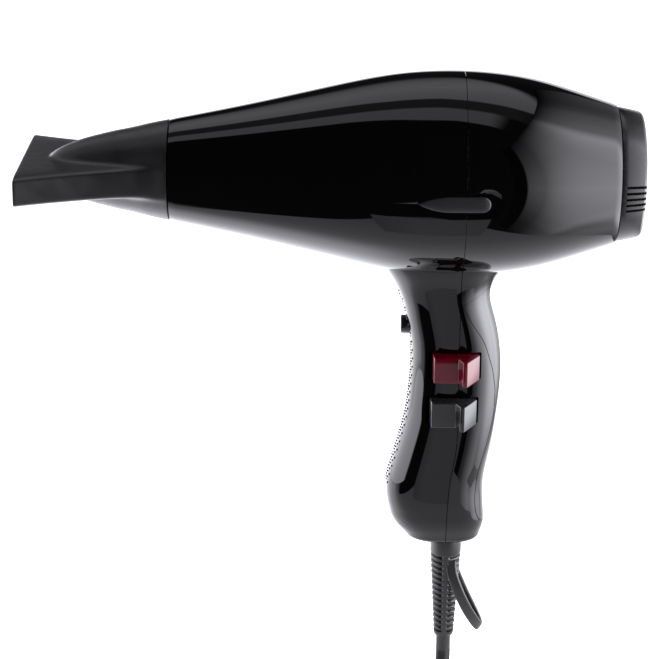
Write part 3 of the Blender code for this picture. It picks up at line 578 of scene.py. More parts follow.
WIRE_CLOTH = woven("filter_cloth", (0.3, 0.3, 0.31), 0.8, 0.45)

# --- housing


def eased(rows, first, last, step, spread):
    """The smooth curve through rows with its small unevenness ironed out."""
    curve = Spline(rows)
    places = np.arange(first, last + step, step)
    reach = np.arange(-12, 13)
    weights = np.exp(-((reach * step) ** 2) / (2 * spread**2))
    weights /= weights.sum()
    values = sum(w * curve(places + k * step) for k, w in zip(reach, weights))
    return places, values


def handle_curve():
    places, values = eased(HANDLE_SECTIONS, -52.0, 77.0, 2.0, 3.2)
    rows = [row for row in HANDLE_SECTIONS if row[0] < -54]
    rows += [(z, *value) for z, value in zip(places, values)]
    return Spline(rows)


HANDLE_AT = handle_curve()
BARREL_AT = Spline(BARREL_RADII)
SEAM_AT = Spline([(z, x) for x, z in reversed(SEAM)])


def barrel_value(points):
    """Signed function of the barrel's outer surface, zero on it."""
    radius = BARREL_AT(points[:, 0])[:, 0]
    return np.hypot(points[:, 1], points[:, 2] - AXIS_Z) - radius


def handle_value(points):
    """Function of the handle's outer surface, zero on it."""
    front, back, half = HANDLE_AT(points[:, 2]).T
    middle, reach = (front + back) / 2, (back - front) / 2
    across = np.abs(points[:, 1] / half) ** HANDLE_SHAPE
    along = np.abs((points[:, 0] - middle) / reach) ** HANDLE_SHAPE
    return (across + along) ** (1 / HANDLE_SHAPE) - 1


def handle_ring(z, front_inset, side_inset, back_inset, count):
    front, back, half = HANDLE_AT(z)
    front, back, half = front + front_inset, back - back_inset, half - side_inset
    middle, reach = (front + back) / 2, (back - front) / 2
    return level_ring(superellipse(reach, half, HANDLE_SHAPE, count), z, middle)


def handle_heights(low, high, step):
    """Heights of the handle's rings, closer together round its foot."""
    bottom = [-69.5, -69.3, -68.9, -68.3, -67.5, -66.6, -65.5, -64.2, -62.8, -61.0]
    heights = [z for z in bottom if z >= low] + list(np.arange(-59.5, high, step))
    heights = [z for z in heights if z > low + 0.2]
    return [low] + heights + [high]


def handle_solid(name, front=0.0, side=0.0, back=0.0, low=-69.5, high=78.0, count=160, step=1.5):
    rings = [handle_ring(z, front, side, back, count) for z in handle_heights(low, high, step)]
    return skin(name, rings)


def barrel_solid(name):
    stations = np.linspace(MOUTH_X, REAR_X, 72)
    outline = [(x, float(BARREL_AT(x)[0])) for x in stations]
    start, end = outline[0][1], outline[-1][1]
    outline = [(MOUTH_X, start - 0.5), (MOUTH_X + 0.15, start - 0.1)] + [
        (x, r) for x, r in outline if MOUTH_X + 0.4 < x < REAR_X - 0.6
    ]
    outline += [(REAR_X - 0.5, end + 0.1), (REAR_X - 0.12, end - 0.12), (REAR_X, end - 0.5)]
    neck = [(MOUTH_X - 10, 19.0), (MOUTH_X - 9.5, 19.5), (MOUTH_X, 19.5)]
    return turned(name, neck + outline, sides=208)


def barrel_cavity(name):
    stations = np.linspace(MOUTH_X + 2.6, REAR_X + 2, 24)
    outline = [(MOUTH_X - 20, 17.8), (MOUTH_X + 2.6, 17.8)]
    outline += [(x, float(BARREL_AT(x)[0]) - 2.6) for x in stations]
    return turned(name, outline, sides=96)


def side_of_seam(name, side):
    """Everything ahead of the parting line (side -1) or behind it (side 1)."""
    outline = [(float(SEAM_AT(z)[0]) + side * GAP / 2, z) for z in np.arange(10, -91, -3.0)]
    outline = [(1.5 + side * GAP / 2, 170)] + outline
    outline += [(side * 400, outline[-1][1]), (side * 400, 170)]
    return slab(name, outline, "Y", -200, 200)


def cover_outline(shift):
    """The cover's edge from above the handle's top to below its foot, moved along X."""
    curved = [(x + shift, z) for x, z in COVER_OUTLINE]
    return rounded(curved, 30.0, 8, keep=(0, len(curved) - 1))


def teardrop(radius, tip_x, shoulder_x=CAP_SHOULDER_X, round_x=CAP_ROUND_X, steps=14):
    """Dense teardrop outline: pointed arch towards the nozzle, straight sides and a round end."""
    length = shoulder_x - tip_x
    bend = (length**2 + radius**2) / (2 * radius)
    arch = []
    for i in range(steps):
        x = tip_x + length * (1 - math.cos(math.pi / 2 * i / steps)) if i else tip_x
        arch.append((x, math.sqrt(bend**2 - (shoulder_x - x) ** 2) - bend + radius))
    straight = np.linspace(shoulder_x, round_x, 8)
    points = [(x, -half) for x, half in arch] + [(x, -radius) for x in straight]
    for i in range(1, 16):
        turn_by = -math.pi / 2 + math.pi * i / 16
        points.append((round_x + radius * math.cos(turn_by), radius * math.sin(turn_by)))
    points += [(x, radius) for x in reversed(straight)]
    points += [(x, half) for x, half in reversed(arch[1:])]
    return np.array([(x, CAP_Z + z) for x, z in points])


def barrel_y(x, z):
    """How far the barrel's surface lies from its middle plane at (x, z)."""
    return np.sqrt(BARREL_AT(x)[..., 0] ** 2 - (z - AXIS_Z) ** 2)


SCOOP_CENTRE = np.array([8.5, CAP_Z])


def scoop_edge():
    """Outline of the dish, which is shallower above the cap than below it."""
    edge = np.array(teardrop(6.6, -31.0, -6.0, 11.2))
    above = edge[:, 1] > CAP_Z
    drop = np.interp(edge[:, 0], (-20.0, -6.0, 2.0, 9.0), (0.3, 0.66, 0.74, 1.08))
    edge[above, 1] = CAP_Z + (edge[above, 1] - CAP_Z) * drop[above]
    return edge


def scoop_sink(share):
    """Depth of the dish where share runs from 0 at its centre to 1 at its edge."""
    return 1.35 * (1 - np.clip((share - 0.52) / 0.48, 0, 1.3) ** 2)


def scoop_tool(name, side):
    """The dish that the teardrop cap sits in, as a body that takes it out of the barrel."""
    edge = scoop_edge()
    rings = []
    for share in (0.05, 0.2, 0.4, 0.55, 0.66, 0.75, 0.82, 0.88, 0.93, 0.97, 1.0, 1.04, 1.1):
        flat = SCOOP_CENTRE + (edge - SCOOP_CENTRE) * share
        y = side * (barrel_y(flat[:, 0], flat[:, 1]) - scoop_sink(share))
        rings.append(np.stack([flat[:, 0], y, flat[:, 1]], 1))
    far = rings[-1].copy()
    far[:, 1] = side * 58
    return skin(name, rings + [far])


def cap_pocket(name, side):
    low, high = sorted((side * 43.9, side * 60))
    return slab(name, teardrop(CAP_RADIUS + 0.22, CAP_TIP_X - 0.6), "Y", low, high)


def rocker_window(name, centre):
    x, z = centre
    outline = rounded(rectangle((x - 12.2, z - 6.7), (x + 12.2, z + 6.7)), 0.9)
    return slab(name, outline, "Y", -30, -8)


def scoop_value(side):
    """Function of the dish's own surface, for clean shading inside it."""
    offsets = scoop_edge() - SCOOP_CENTRE
    angles = np.arctan2(offsets[:, 1], offsets[:, 0])
    order = np.argsort(angles)
    angles, reach = angles[order], np.hypot(*offsets[order].T)

    def value(points):
        from_centre = points[:, [0, 2]] - SCOOP_CENTRE
        angle = np.arctan2(from_centre[:, 1], from_centre[:, 0])
        share = np.hypot(*from_centre.T) / np.interp(angle, angles, reach, period=math.tau)
        return side * points[:, 1] - (barrel_y(points[:, 0], points[:, 2]) - scoop_sink(share))

    return value


def build_housing():
    shell = combine(barrel_solid("shell"), handle_solid("handle"), "UNION")
    inner = handle_solid("inner", 2.6, 3.0, 4.2, low=-66.3, high=78, count=64, step=6)
    hollow = combine(barrel_cavity("hollow"), inner, "UNION")
    combine(shell, hollow, "DIFFERENCE")
    front = combine(copy_of(shell, "front_shell"), side_of_seam("ahead", -1), "INTERSECT")
    rear = combine(shell, side_of_seam("behind", 1), "INTERSECT")
    rear.name = "rear_shell"
    surfaces = [barrel_value, handle_value]
    for housing in (front, rear):
        for side in (-1, 1):
            combine(housing, scoop_tool("scoop", side), "DIFFERENCE")
            combine(housing, cap_pocket("pocket", side), "DIFFERENCE")
        tools = [rocker_window("window", centre) for centre in ROCKERS.values()]
        tools.append(turned("cord_hole", ((-80, 6.3), (-60, 6.3)), (CORD_X, 0, 0), (0, 0, 1), 64))
        if housing is front:
            tools.append(turned("button_hole", ((-40, 4.7), (-10, 4.7)), (0, 0, BUTTON_Z), sides=64))
        combine(housing, merged("tools", *tools), "DIFFERENCE")
    pocket = slab("pocket", cover_outline(-GAP), "Y", -60, 60)
    core = handle_solid("core", COVER_DEPTH, COVER_DEPTH, COVER_DEPTH, low=-68)
    combine(rear, combine(pocket, core, "DIFFERENCE"), "DIFFERENCE")
    surfaces += [scoop_value(-1), scoop_value(1)]
    for housing, node in ((front, "front_housing"), (rear, "rear_housing")):
        true_normals(housing, surfaces)
        piece(housing, "dryer", node, material=GLOSS_BLACK, slot="gloss_black")


def build_back_cover():
    cover = handle_solid("back_cover")
    inset_by = COVER_DEPTH - GAP
    combine(cover, handle_solid("core", inset_by, inset_by, inset_by, low=-68.9, high=90), "DIFFERENCE")
    combine(cover, slab("region", cover_outline(0), "Y", -60, 60), "INTERSECT")
    true_normals(cover, [handle_value])
    piece(cover, "dryer", "handle_back_cover", material=GLOSS_BLACK, slot="gloss_black")


def build_side_caps():
    """Thin teardrop lids that follow the barrel's curve, with a rounded rim."""
    for side, name in ((-1, "side_cap_right"), (1, "side_cap_left")):
        outline = teardrop(CAP_RADIUS, CAP_TIP_X)
        middle = np.array([2.0, CAP_Z])
        rings = []
        for level, pull in ((-1.6, 0.0), (-0.55, 0.0), (-0.25, 0.05), (-0.08, 0.2), (0.0, 0.5)):
            flat = inset(outline, pull) if pull else outline
            lift = barrel_y(flat[:, 0], flat[:, 1]) + 0.05 + level
            rings.append(np.stack([flat[:, 0], side * lift, flat[:, 1]], 1))
        flat_edge = inset(outline, 0.5)
        for share in (0.75, 0.5, 0.25, 0.04):
            flat = middle + (flat_edge - middle) * share
            lift = barrel_y(flat[:, 0], flat[:, 1]) + 0.05 + 0.25 * (1 - share**2)
            rings.append(np.stack([flat[:, 0], side * lift, flat[:, 1]], 1))
        lid = smooth(skin(f"{name}_lid", rings), 40)
        piece(lid, "dryer", name, material=INSERT_GREY, slot="cap_grey")


def build_grip_dots():
    """Small raised dots down the front of the grip, in staggered rows."""
    profile = ((-0.4, 0.62), (0.0, 0.6), (0.22, 0.5), (0.38, 0.3), (0.44, 0.08))
    domes = []
    for row in range(47):
        z = 57.0 - row * 2.1
        for column in (-2, 0, 2) if row % 2 else (-3, -1, 1, 3):
            if abs(z - BUTTON_Z) < 7.5 and abs(column) < 2:
                continue
            y = column * 2.0
            front, back, half = HANDLE_AT(z)
            middle, reach = (front + back) / 2, (back - front) / 2
            x = middle - reach * (1 - abs(y / half) ** HANDLE_SHAPE) ** (1 / HANDLE_SHAPE)
            point = np.array([[x, y, z]])
            out = surface_normals(handle_value, point)[0][0]
            domes.append(turned("dot", profile, point[0], out, 10))
    dots = smooth(merged("grip_dots", *domes), 60)
    piece(dots, "dryer", material=GRIP_BLACK, slot="gloss_black")


build_housing()
build_back_cover()
build_side_caps()
build_grip_dots()

# --- rear cap and nozzle


def build_rear_cap():
    outline = [(64, 28.8), (71.1, 28.8), (71.1, 30.7), (74, 30.3), (78, 29.5)]
    outline += [(81.3, 28.7), (82.3, 27.8), (82.3, 26.0), (64, 27.0)]
    cap = turned("rear_cap_rim", rounded(outline, 0.45, 3), sides=208, hollow=True)
    slots = []
    for side in (-1, 1):
        for i in range(5):
            slot = slab("slot", rounded(rectangle((73.0, -0.62), (90, 0.62)), 0.6), "Y", 27.6, 40)
            slot.data.transform(Matrix.Rotation(math.radians(3.8 - 5.4 * i), 4, "X"))
            if side < 0:
                slot.data.transform(Matrix.Scale(-1, 4, (0, 1, 0)))
                slot.data.flip_normals()
            slot.data.transform(Matrix.Translation((0, 0, AXIS_Z * MM)))
            slots.append(slot)
    combine(cap, merged("slots", *slots), "DIFFERENCE")
    smooth(cap, 32)
    piece(cap, "rear_cap", "rear_cap", material=CAP_BLACK, slot="satin_black")


def wheel(name, x, thick, radius, rings, spokes, width):
    """Guard of round rings and spokes in one moulding."""
    rim_inside = radius - 1.5 * width
    rim = [(x, rim_inside), (x, radius), (x + thick, radius), (x + thick, rim_inside)]
    disc = turned(name, rounded(rim, 0.2, 2), sides=120, hollow=True)
    for i in range(1, rings + 1):
        middle = radius * i / (rings + 1)
        low, high = middle - width / 2, middle + width / 2
        ring = rounded([(x, low), (x, high), (x + thick, high), (x + thick, low)], 0.3, 2)
        combine(disc, turned("ring", ring, sides=96, hollow=True), "UNION")
    hub = [(x, 0.05), (x, 2.2), (x + thick, 2.2), (x + thick, 0.05)]
    combine(disc, turned("hub", rounded(hub, 0.3, 2, keep=(0, 3)), sides=48), "UNION")
    for i in range(spokes):
        far_corner = (x + thick - 0.1, 0.6, AXIS_Z + radius - width)
        bar = block("spoke", (x + 0.1, -0.6, AXIS_Z), far_corner, 0.2)
        combine(disc, turn(bar, math.tau * (i + 0.5) / spokes, "X"), "UNION")
    return smooth(disc)


def build_grilles():
    inlet = wheel("inlet_guard", 78, 1.6, 25.7, 4, 12, 1.1)
    piece(inlet, "rear_cap", "inlet_grille", material=CAP_BLACK, slot="satin_black")
    outlet = wheel("outlet_guard", -129, 1.4, 20.6, 3, 8, 0.9)
    piece(outlet, "dryer", "outlet_grille", material=STEEL, slot="steel")


NOZZLE_CONE = (
    (-132.4, 23.1),
    (-143, 20.9),
    (-150, 19.2),
    (-157, 17.8),
    (-164, 16.1),
    (-171, 14.2),
    (-177, 12.1),
    (-182, 9.9),
    (-185.5, 7.4),
    (-187.3, 4.8),
    (-188.5, 1.5),
)
BLADE_PLAN = ((-138, 19.3), (-150, 23.2), (-165, 27.6), (-180, 33.0), (-190, 37.0), (-199, 41.0))
BLADE_START, CONE_TIP = -138, -188.5
BLADE_ABOVE, BLADE_BELOW = 6.2, 7.8
CONE_AT = Spline([(-x, r) for x, r in NOZZLE_CONE])
BLADE_AT = Spline([(-x, r) for x, r in BLADE_PLAN])


def nozzle_reach(angles, x, shrink):
    """How far the nozzle's skin lies from the axis at each angle, as a smooth union of cone and blade."""
    cone = max(float(CONE_AT(-x)[0]) - shrink, 0.3) if x > CONE_TIP else 0.3
    wide = float(BLADE_AT(-x)[0]) - shrink * 1.2
    thick = np.where(np.sin(angles) < 0, BLADE_BELOW, BLADE_ABOVE) - shrink
    c, s = np.abs(np.cos(angles)), np.abs(np.sin(angles))
    corner, join_by = 9.0, 9.0
    plate = ((c / wide) ** corner + (s / thick) ** corner) ** (-1 / corner)
    if x > BLADE_START:
        plate = np.minimum(plate, cone)
    return (cone**join_by + plate**join_by) ** (1 / join_by)


def build_nozzle():
    turns = np.linspace(0, math.tau, 256, endpoint=False)
    angles = np.arctan2(0.42 * np.sin(turns), np.cos(turns))

    def round_ring(x, size):
        across, up = size * np.cos(angles), size * np.sin(angles)
        return np.stack([np.full(len(angles), x), across, AXIS_Z + up], 1)

    def ring(x, shrink=0.0):
        return round_ring(x, nozzle_reach(angles, x, shrink))

    outside = [ring(-132.4, 0.5), ring(-132.55, 0.12), ring(-132.9, 0.0)]
    outside += [ring(x) for x in np.linspace(-134, -176, 44)]
    outside += [ring(x) for x in np.linspace(-176.6, -188.6, 21)]
    outside += [ring(x) for x in np.linspace(-189.5, -198.4, 10)]
    turned_over = ((-198.8, 0.1), (-199.0, 0.4), (-199.0, 1.3), (-198.8, 1.7), (-198.3, 1.8))
    lip = [ring(x, shrink) for x, shrink in turned_over]
    inside = [ring(x, 1.8) for x in np.linspace(-197, -144.5, 28)] + [ring(-144, 1.8)]
    bore = ((-143, 19.0), (-142.6, 19.8), (-132.9, 19.8), (-132.4, 20.2))
    socket = [round_ring(x, radius) for x, radius in bore]
    nozzle = smooth(skin("nozzle_shell", outside + lip + inside + socket, wrap=True), 40)
    piece(nozzle, "nozzle", "concentrator_nozzle", material=NOZZLE_BLACK, slot="satin_black")


build_rear_cap()
build_grilles()
build_nozzle()

# --- controls


def build_rockers():
    profile = (
        (-10.5, 4.0),
        (-9.9, 11.2),
        (1.3, 11.2),
        (3.2, 16.2),
        (5.1, 16.9),
        (11.2, 6.2),
        (11.0, 1.5),
        (3.6, -2.6),
        (-3.6, -2.6),
        (-10.4, 1.0),
    )
    looks = {"heat": (RED_GLOSS, "rocker_red"), "speed": (GREY_GLOSS, "rocker_grey")}
    for kind, (x, z) in ROCKERS.items():
        outline = [(x + a, ROCKER_PIVOT_Y - b) for a, b in rounded(profile, 0.55)]
        rocker = slab(f"{kind}_paddle", outline, "Z", z - 6.1, z + 6.1, edge=0.5)
        bore = turned("bore", ((-10, 1.3), (10, 1.3)), (x, ROCKER_PIVOT_Y, z), (0, 0, 1), 32)
        combine(rocker, bore, "DIFFERENCE")
        smooth(rocker, 30)
        material, slot = looks[kind]
        piece(rocker, f"{kind}_rocker", f"{kind}_rocker", material=material, slot=slot)


def build_button():
    dished_face = [(-23.6, 0.05), (-23.75, 1.2), (-24.2, 2.3), (-24.9, 3.2)]
    rim = [(-25.35, 3.6), (-25.5, 3.85), (-25.4, 4.15), (-25.0, 4.4)]
    flange = [(-17.2, 4.4), (-17.2, 5.4), (-16.2, 5.4)]
    spring_well = [(-16.2, 3.85), (-18.4, 3.85), (-18.4, 2.55), (-16.2, 2.55)]
    stem = [(-16.2, 1.5), (-13.4, 1.5), (-13.4, 0.05)]
    outline = dished_face + rim + flange + spring_well + stem
    button = smooth(turned("button_cap", outline, (0, 0, BUTTON_Z), sides=72), 40)
    piece(button, "cool_shot_button", "cool_shot_button", material=BUTTON_BLACK, slot="gloss_black")


build_rockers()
build_button()

# --- strain relief, cord and plug


def build_sleeve():
    """Collar, then a tapering sleeve with ribs front and back and a smooth strip down each side."""
    angles = np.linspace(0, math.tau, 96, endpoint=False)
    flank = np.clip((np.abs(np.cos(angles)) - 0.16) / 0.12, 0, 1)
    flank = flank * flank * (3 - 2 * flank)
    first, last, ribs = -78.6, -119.5, 14
    pitch = (last - first) / ribs
    rings = []

    def ring(z, radius):
        flat = np.stack([radius * np.cos(angles), radius * np.sin(angles)], 1)
        rings.append(level_ring(flat, z, CORD_X))

    inside_handle = ((-62.5, 7.3), (-62.8, 7.6), (-65.6, 7.6), (-65.9, 7.3), (-65.9, 6.0), (-69.9, 6.0))
    collar = ((-69.9, 7.1), (-70.2, 7.45), (-70.6, 7.5), (-77.2, 7.5), (-77.7, 7.45), (-78.0, 7.2))
    for z, radius in inside_handle + collar:
        ring(z, radius)
    steps = ((0.0, 0.0), (0.1, 0.05), (0.22, 0.75), (0.34, 1.0), (0.62, 1.0), (0.76, 0.75), (0.9, 0.05))
    for i in range(ribs):
        for share, height in steps:
            z = first + pitch * (i + share)
            crest = 7.35 - 2.35 * (first - z) / (first - last)
            ring(z, crest - 1.25 * (1 - height) * flank)
    end = ((-119.6, 4.95), (-121.4, 4.8), (-121.9, 4.55), (SLEEVE_END, 4.2), (SLEEVE_END, 3.8))
    for z, radius in (*end, (-62.5, 3.8)):
        ring(z, radius)
    sleeve = smooth(skin("sleeve_ribbed", rings, wrap=True), 50)
    piece(sleeve, "dryer", "strain_relief_sleeve", material=SLEEVE_RUBBER, slot="rubber_black")


def build_loop():
    """Moulded strap that leaves the sleeve below its collar on both sides and hangs behind the cord."""
    half = [
        (2.6, -5.4, -81.0),
        (3.0, -7.2, -86.0),
        (4.6, -8.3, -91.0),
        (7.2, -8.7, -97.5),
        (10.6, -7.9, -105.0),
        (14.0, -5.8, -111.5),
        (16.4, -2.8, -116.0),
    ]
    path = half + [(17.2, 0.0, -117.2)] + [(x, -y, z) for x, y, z in reversed(half)]
    curve = Spline([(t, CORD_X + x, y, z) for t, (x, y, z) in enumerate(path)])
    fine = curve(np.linspace(0, len(path) - 1, 92))
    section = superellipse(2.5, 1.2, 3.4, 28)
    rings = []
    for i, point in enumerate(fine):
        heading = Vector(fine[min(i + 1, len(fine) - 1)] - fine[max(i - 1, 0)]).normalized()
        share = min(abs(heading.y) / 0.8, 1.0)
        wide = Vector((heading.z, 0, -heading.x)) * (-1 if heading.z < 0 else 1)
        wide = wide.lerp(Vector((0.5, 0, 0.86)), share * share)
        wide = (wide - heading * wide.dot(heading)).normalized()
        thin = heading.cross(wide)
        rings.append(point + np.outer(section[:, 0], wide) + np.outer(section[:, 1], thin))
    loop = smooth(skin("loop_strap", rings), 50)
    piece(loop, "dryer", "hang_loop", material=SLEEVE_RUBBER, slot="rubber_black")


def eased_share(value):
    value = min(max(value, 0.0), 1.0)
    return value * value * (3 - 2 * value)


COIL_SLOTS = np.array(
    [(49, -7), (49, 0), (49, 7), (42, 7), (42, 0), (42, -7), (35, -7), (35, 0), (35, 7), (29.2, 7)]
)
LEAD_STRAIGHT, LEAD_BEND, LEAD_SWING = 12, 35.0, math.radians(58)
JOIN_ANGLE, STEP_ANGLE = 122.0, 7.5
SHIFT_WIDTH, SHIFT_EARLIER = 100.0, 45.0
PLUG_X, PLUG_Y = -20.1, 20.0


def cord_lead():
    """Down out of the sleeve, then a bend that meets the coil's outside."""
    points = [(CORD_X, 0.0, z) for z in np.arange(-110, -120, -3.0)]
    length = LEAD_STRAIGHT + LEAD_BEND * LEAD_SWING
    for walked in np.linspace(0, length, 17):
        y = COIL_SLOTS[0][1] * eased_share(walked / (length - 6))
        t = max(walked - LEAD_STRAIGHT, 0.0) / LEAD_BEND
        z = -120 - min(walked, LEAD_STRAIGHT) - LEAD_BEND * math.sin(t)
        points.append((CORD_X - LEAD_BEND * (1 - math.cos(t)), y, z))
    return points


def cord_route():
    """The lead, then round the coil's slots and out to the plug. Angles here are degrees."""
    points = cord_lead()
    moves = np.diff(COIL_SLOTS, axis=0)
    corners = 0
    shifts = []
    for k, move in enumerate(moves):
        if k and (move != moves[k - 1]).any():
            corners += 1
        shifts.append(JOIN_ANGLE + 360 * (k + 1) - 60 - SHIFT_EARLIER * corners)
    end_angle = 360 * len(COIL_SLOTS) + 180
    rise_angle = 190
    angle = JOIN_ANGLE + STEP_ANGLE
    while angle <= end_angle + 1e-6:
        radius, y = COIL_SLOTS[0] + sum(
            eased_share((angle - start) / SHIFT_WIDTH) * move for start, move in zip(shifts, moves)
        )
        y += 10.2 * eased_share((angle - end_angle + rise_angle) / rise_angle)
        radius += 2.0 * eased_share((angle - end_angle + 60) / 60)
        turn_by = math.radians(angle)
        points.append((COIL_X + radius * math.cos(turn_by), y, COIL_Z + radius * math.sin(turn_by)))
        angle += STEP_ANGLE
    x, y, _ = points[-1]
    for t in np.linspace(1 / 6, 1, 6):
        share = eased_share(t)
        points.append((x + (PLUG_X - x) * share, y + (PLUG_Y - y) * share, COIL_Z - 32 * t))
    return np.array(points)


def build_cord():
    route = cord_route()
    curve = bpy.data.curves.new("mains_cord", "CURVE")
    curve.dimensions = "3D"
    curve.bevel_depth = CORD_RADIUS * MM
    curve.bevel_resolution = 5
    curve.use_fill_caps = True
    spline = curve.splines.new("POLY")
    spline.points.add(len(route) - 1)
    spline.points.foreach_set("co", np.hstack([route * MM, np.ones((len(route), 1))]).ravel())
    spline.use_smooth = True
    made = bpy.data.objects.new("mains_cord", curve)
    bpy.context.scene.collection.objects.link(made)
    curve.materials.append(CORD_SHEATH)
    return piece(made, "dryer", "cord_lead", "cord_coil", "cord_tail", slot="cord_black")


def build_tie():
    """Hook-and-loop strap round one side of the coil."""
    inner_x, outer_x = COIL_X - 22.2, COIL_X - 53.1
    middle, half_x = (inner_x + outer_x) / 2, (inner_x - outer_x) / 2
    rings = []
    sections = ((-8.0, 0.25), (-7.75, 0.0), (7.75, 0.0), (8.0, 0.25))
    for z, pull in sections:
        outside = superellipse(half_x + 1.35 - pull, 12.45 - pull, 6)
        rings.append(level_ring(outside, COIL_Z + z, middle))
    for z, pull in reversed(sections):
        inside = superellipse(half_x + pull, 11.1 + pull, 6)
        rings.append(level_ring(inside, COIL_Z + z, middle))
    tie = smooth(skin("cord_strap", rings, wrap=True), 50)
    return piece(tie, "dryer", "cord_tie", material=WEBBING, slot="tie_strap")


def build_plug():
    """Flat two-pin plug with finger grooves and a ribbed neck."""
    top = COIL_Z - 30.6
    bottom = top - 35.4
    neck = ((0.0, 5.0, 4.6), (0.12, 5.4, 4.9), (0.3, 7.6, 5.8))
    head = ((0.5, 11.5, 6.4), (0.7, 15.4, 6.8), (0.86, 17.1, 7.0), (1.0, 16.6, 6.4))
    shape = Spline(neck + head)
    rings = []
    for share in np.linspace(0, 1, 60):
        half_x, half_y = shape(share)
        groove = max(0.55 * math.sin(share * 60), 0.0) if 0.03 < share < 0.3 else 0.0
        grip = 0.45 * math.sin((share - 0.5) * 62) ** 2 if 0.5 < share < 0.8 else 0.0
        pull = 0.8 * max(0.0, (share - 0.96) / 0.04) ** 2 + (0.5 if share == 0 else 0.0)
        flat = superellipse(half_x - groove - grip - pull, half_y - groove - pull, 2.8)
        rings.append(level_ring(flat, top + (bottom - top) * share, PLUG_X, PLUG_Y))
    body = smooth(skin("plug_moulding", rings), 45)
    piece(body, "dryer", "plug_body", material=PLUG_RUBBER, slot="rubber_black")
    parts = [body]
    outline = [(-0.3, 2.4), (9.5, 2.4), (9.6, 2.32), (17.0, 2.32), (18.1, 2.0), (18.8, 1.3), (19.0, 0.4)]
    for side, name in ((-1, "left"), (1, "right")):
        foot = (PLUG_X + side * 9.5, PLUG_Y, bottom - 0.3)
        pin = turned(f"pin_{name}", outline, foot, (0, 0, -1), 40)
        pin.data.materials.append(BRASS)
        pin.data.materials.append(PIN_SLEEVE)
        sleeve_end = (bottom - 0.3 - 9.55) * MM
        for polygon in pin.data.polygons:
            polygon.material_index = 1 if polygon.center.z > sleeve_end else 0
        smooth(pin, 40)
        parts.append(piece(pin, "dryer", f"plug_pin_{name}", slot="brass"))
    return parts


build_sleeve()
build_loop()
CORD = build_cord()
TIE = build_tie()
PLUG = build_plug()

# --- finishes of the inner CAD pieces

INNER_LOOKS = {
    CREAM: ("motor_carrier", "air_funnel", "heater_front_ring"),
    MICA: ("heater_sleeve", "mica_board_upright", "mica_board_level"),
    STEEL: (
        "heating_coil_front",
        "heating_coil_rear",
        "thermostat",
        "thermal_fuse",
        "motor_bracket_front",
        "motor_bracket_rear",
        "motor_shaft",
        "heat_rocker_pin",
        "speed_rocker_pin",
        "cool_shot_spring",
        "housing_screw_upper",
        "housing_screw_lower",
        "clamp_screw_left",
        "clamp_screw_right",
    ),
    LAMINATIONS: ("stator_core", "armature_core"),
    COPPER_WIRE: ("field_coil_upper", "field_coil_lower"),
    COPPER_BARS: ("commutator",),
    BRASS: ("bearing_front", "bearing_rear", "brush_holder_left", "brush_holder_right", "fan_nut"),
    CARBON: ("carbon_brush_left", "carbon_brush_right"),
    FAN_BLACK: ("fan_impeller",),
    SWITCH_BLACK: (
        "heat_switch_body",
        "speed_switch_body",
        "cool_shot_switch",
        "cord_clamp_front",
        "cord_clamp_rear",
    ),
    WIRE_CLOTH: ("filter_screen",),
}
for look, names in INNER_LOOKS.items():
    for name in names:
        mesh = NODES[name].data
        mesh.materials.clear()
        mesh.materials.append(look)

# --- floor and light

FLOOR_Z = -292.0
TABLE_Z = -130.0
STUDIO_WHITE = (0.93, 0.93, 1.0, 1)


# Edges of the overhead strips on a level ceiling at height 1: (across u, along v).
FRONT_EDGE = ((-0.6, -0.10), (-0.38, -0.125), (-0.1, -0.24), (0.05, -0.265), (0.2, -0.36), (0.6, -0.7))
REAR_EDGE = ((-0.6, 0.15), (-0.38, 0.12), (-0.2, 0.07), (0.0, 0.045), (0.2, -0.06), (0.6, -0.4))
SECOND_EDGE = (
    *((-0.6, 0.44), (-0.42, 0.41), (-0.2, 0.31), (0.0, 0.29)),
    *((0.2, 0.18), (0.5, 0.0), (0.7, -0.1)),
)
# Brightness of the rear strip along v.
STRIP_FADE = (
    *((-0.2, 1.1), (0.72, 1.04), (0.9, 0.86), (1.11, 0.65)),
    *((1.38, 0.4), (1.75, 0.03), (2.2, 0.0)),
)
# Height of the pale wall by the angle from the camera's side, in radians.
WALL_TOP = ((2.0, 0.5), (2.62, 0.40), (2.88, 0.2), (3.14, 0.05))
PLAIN_WHITE = 1.02


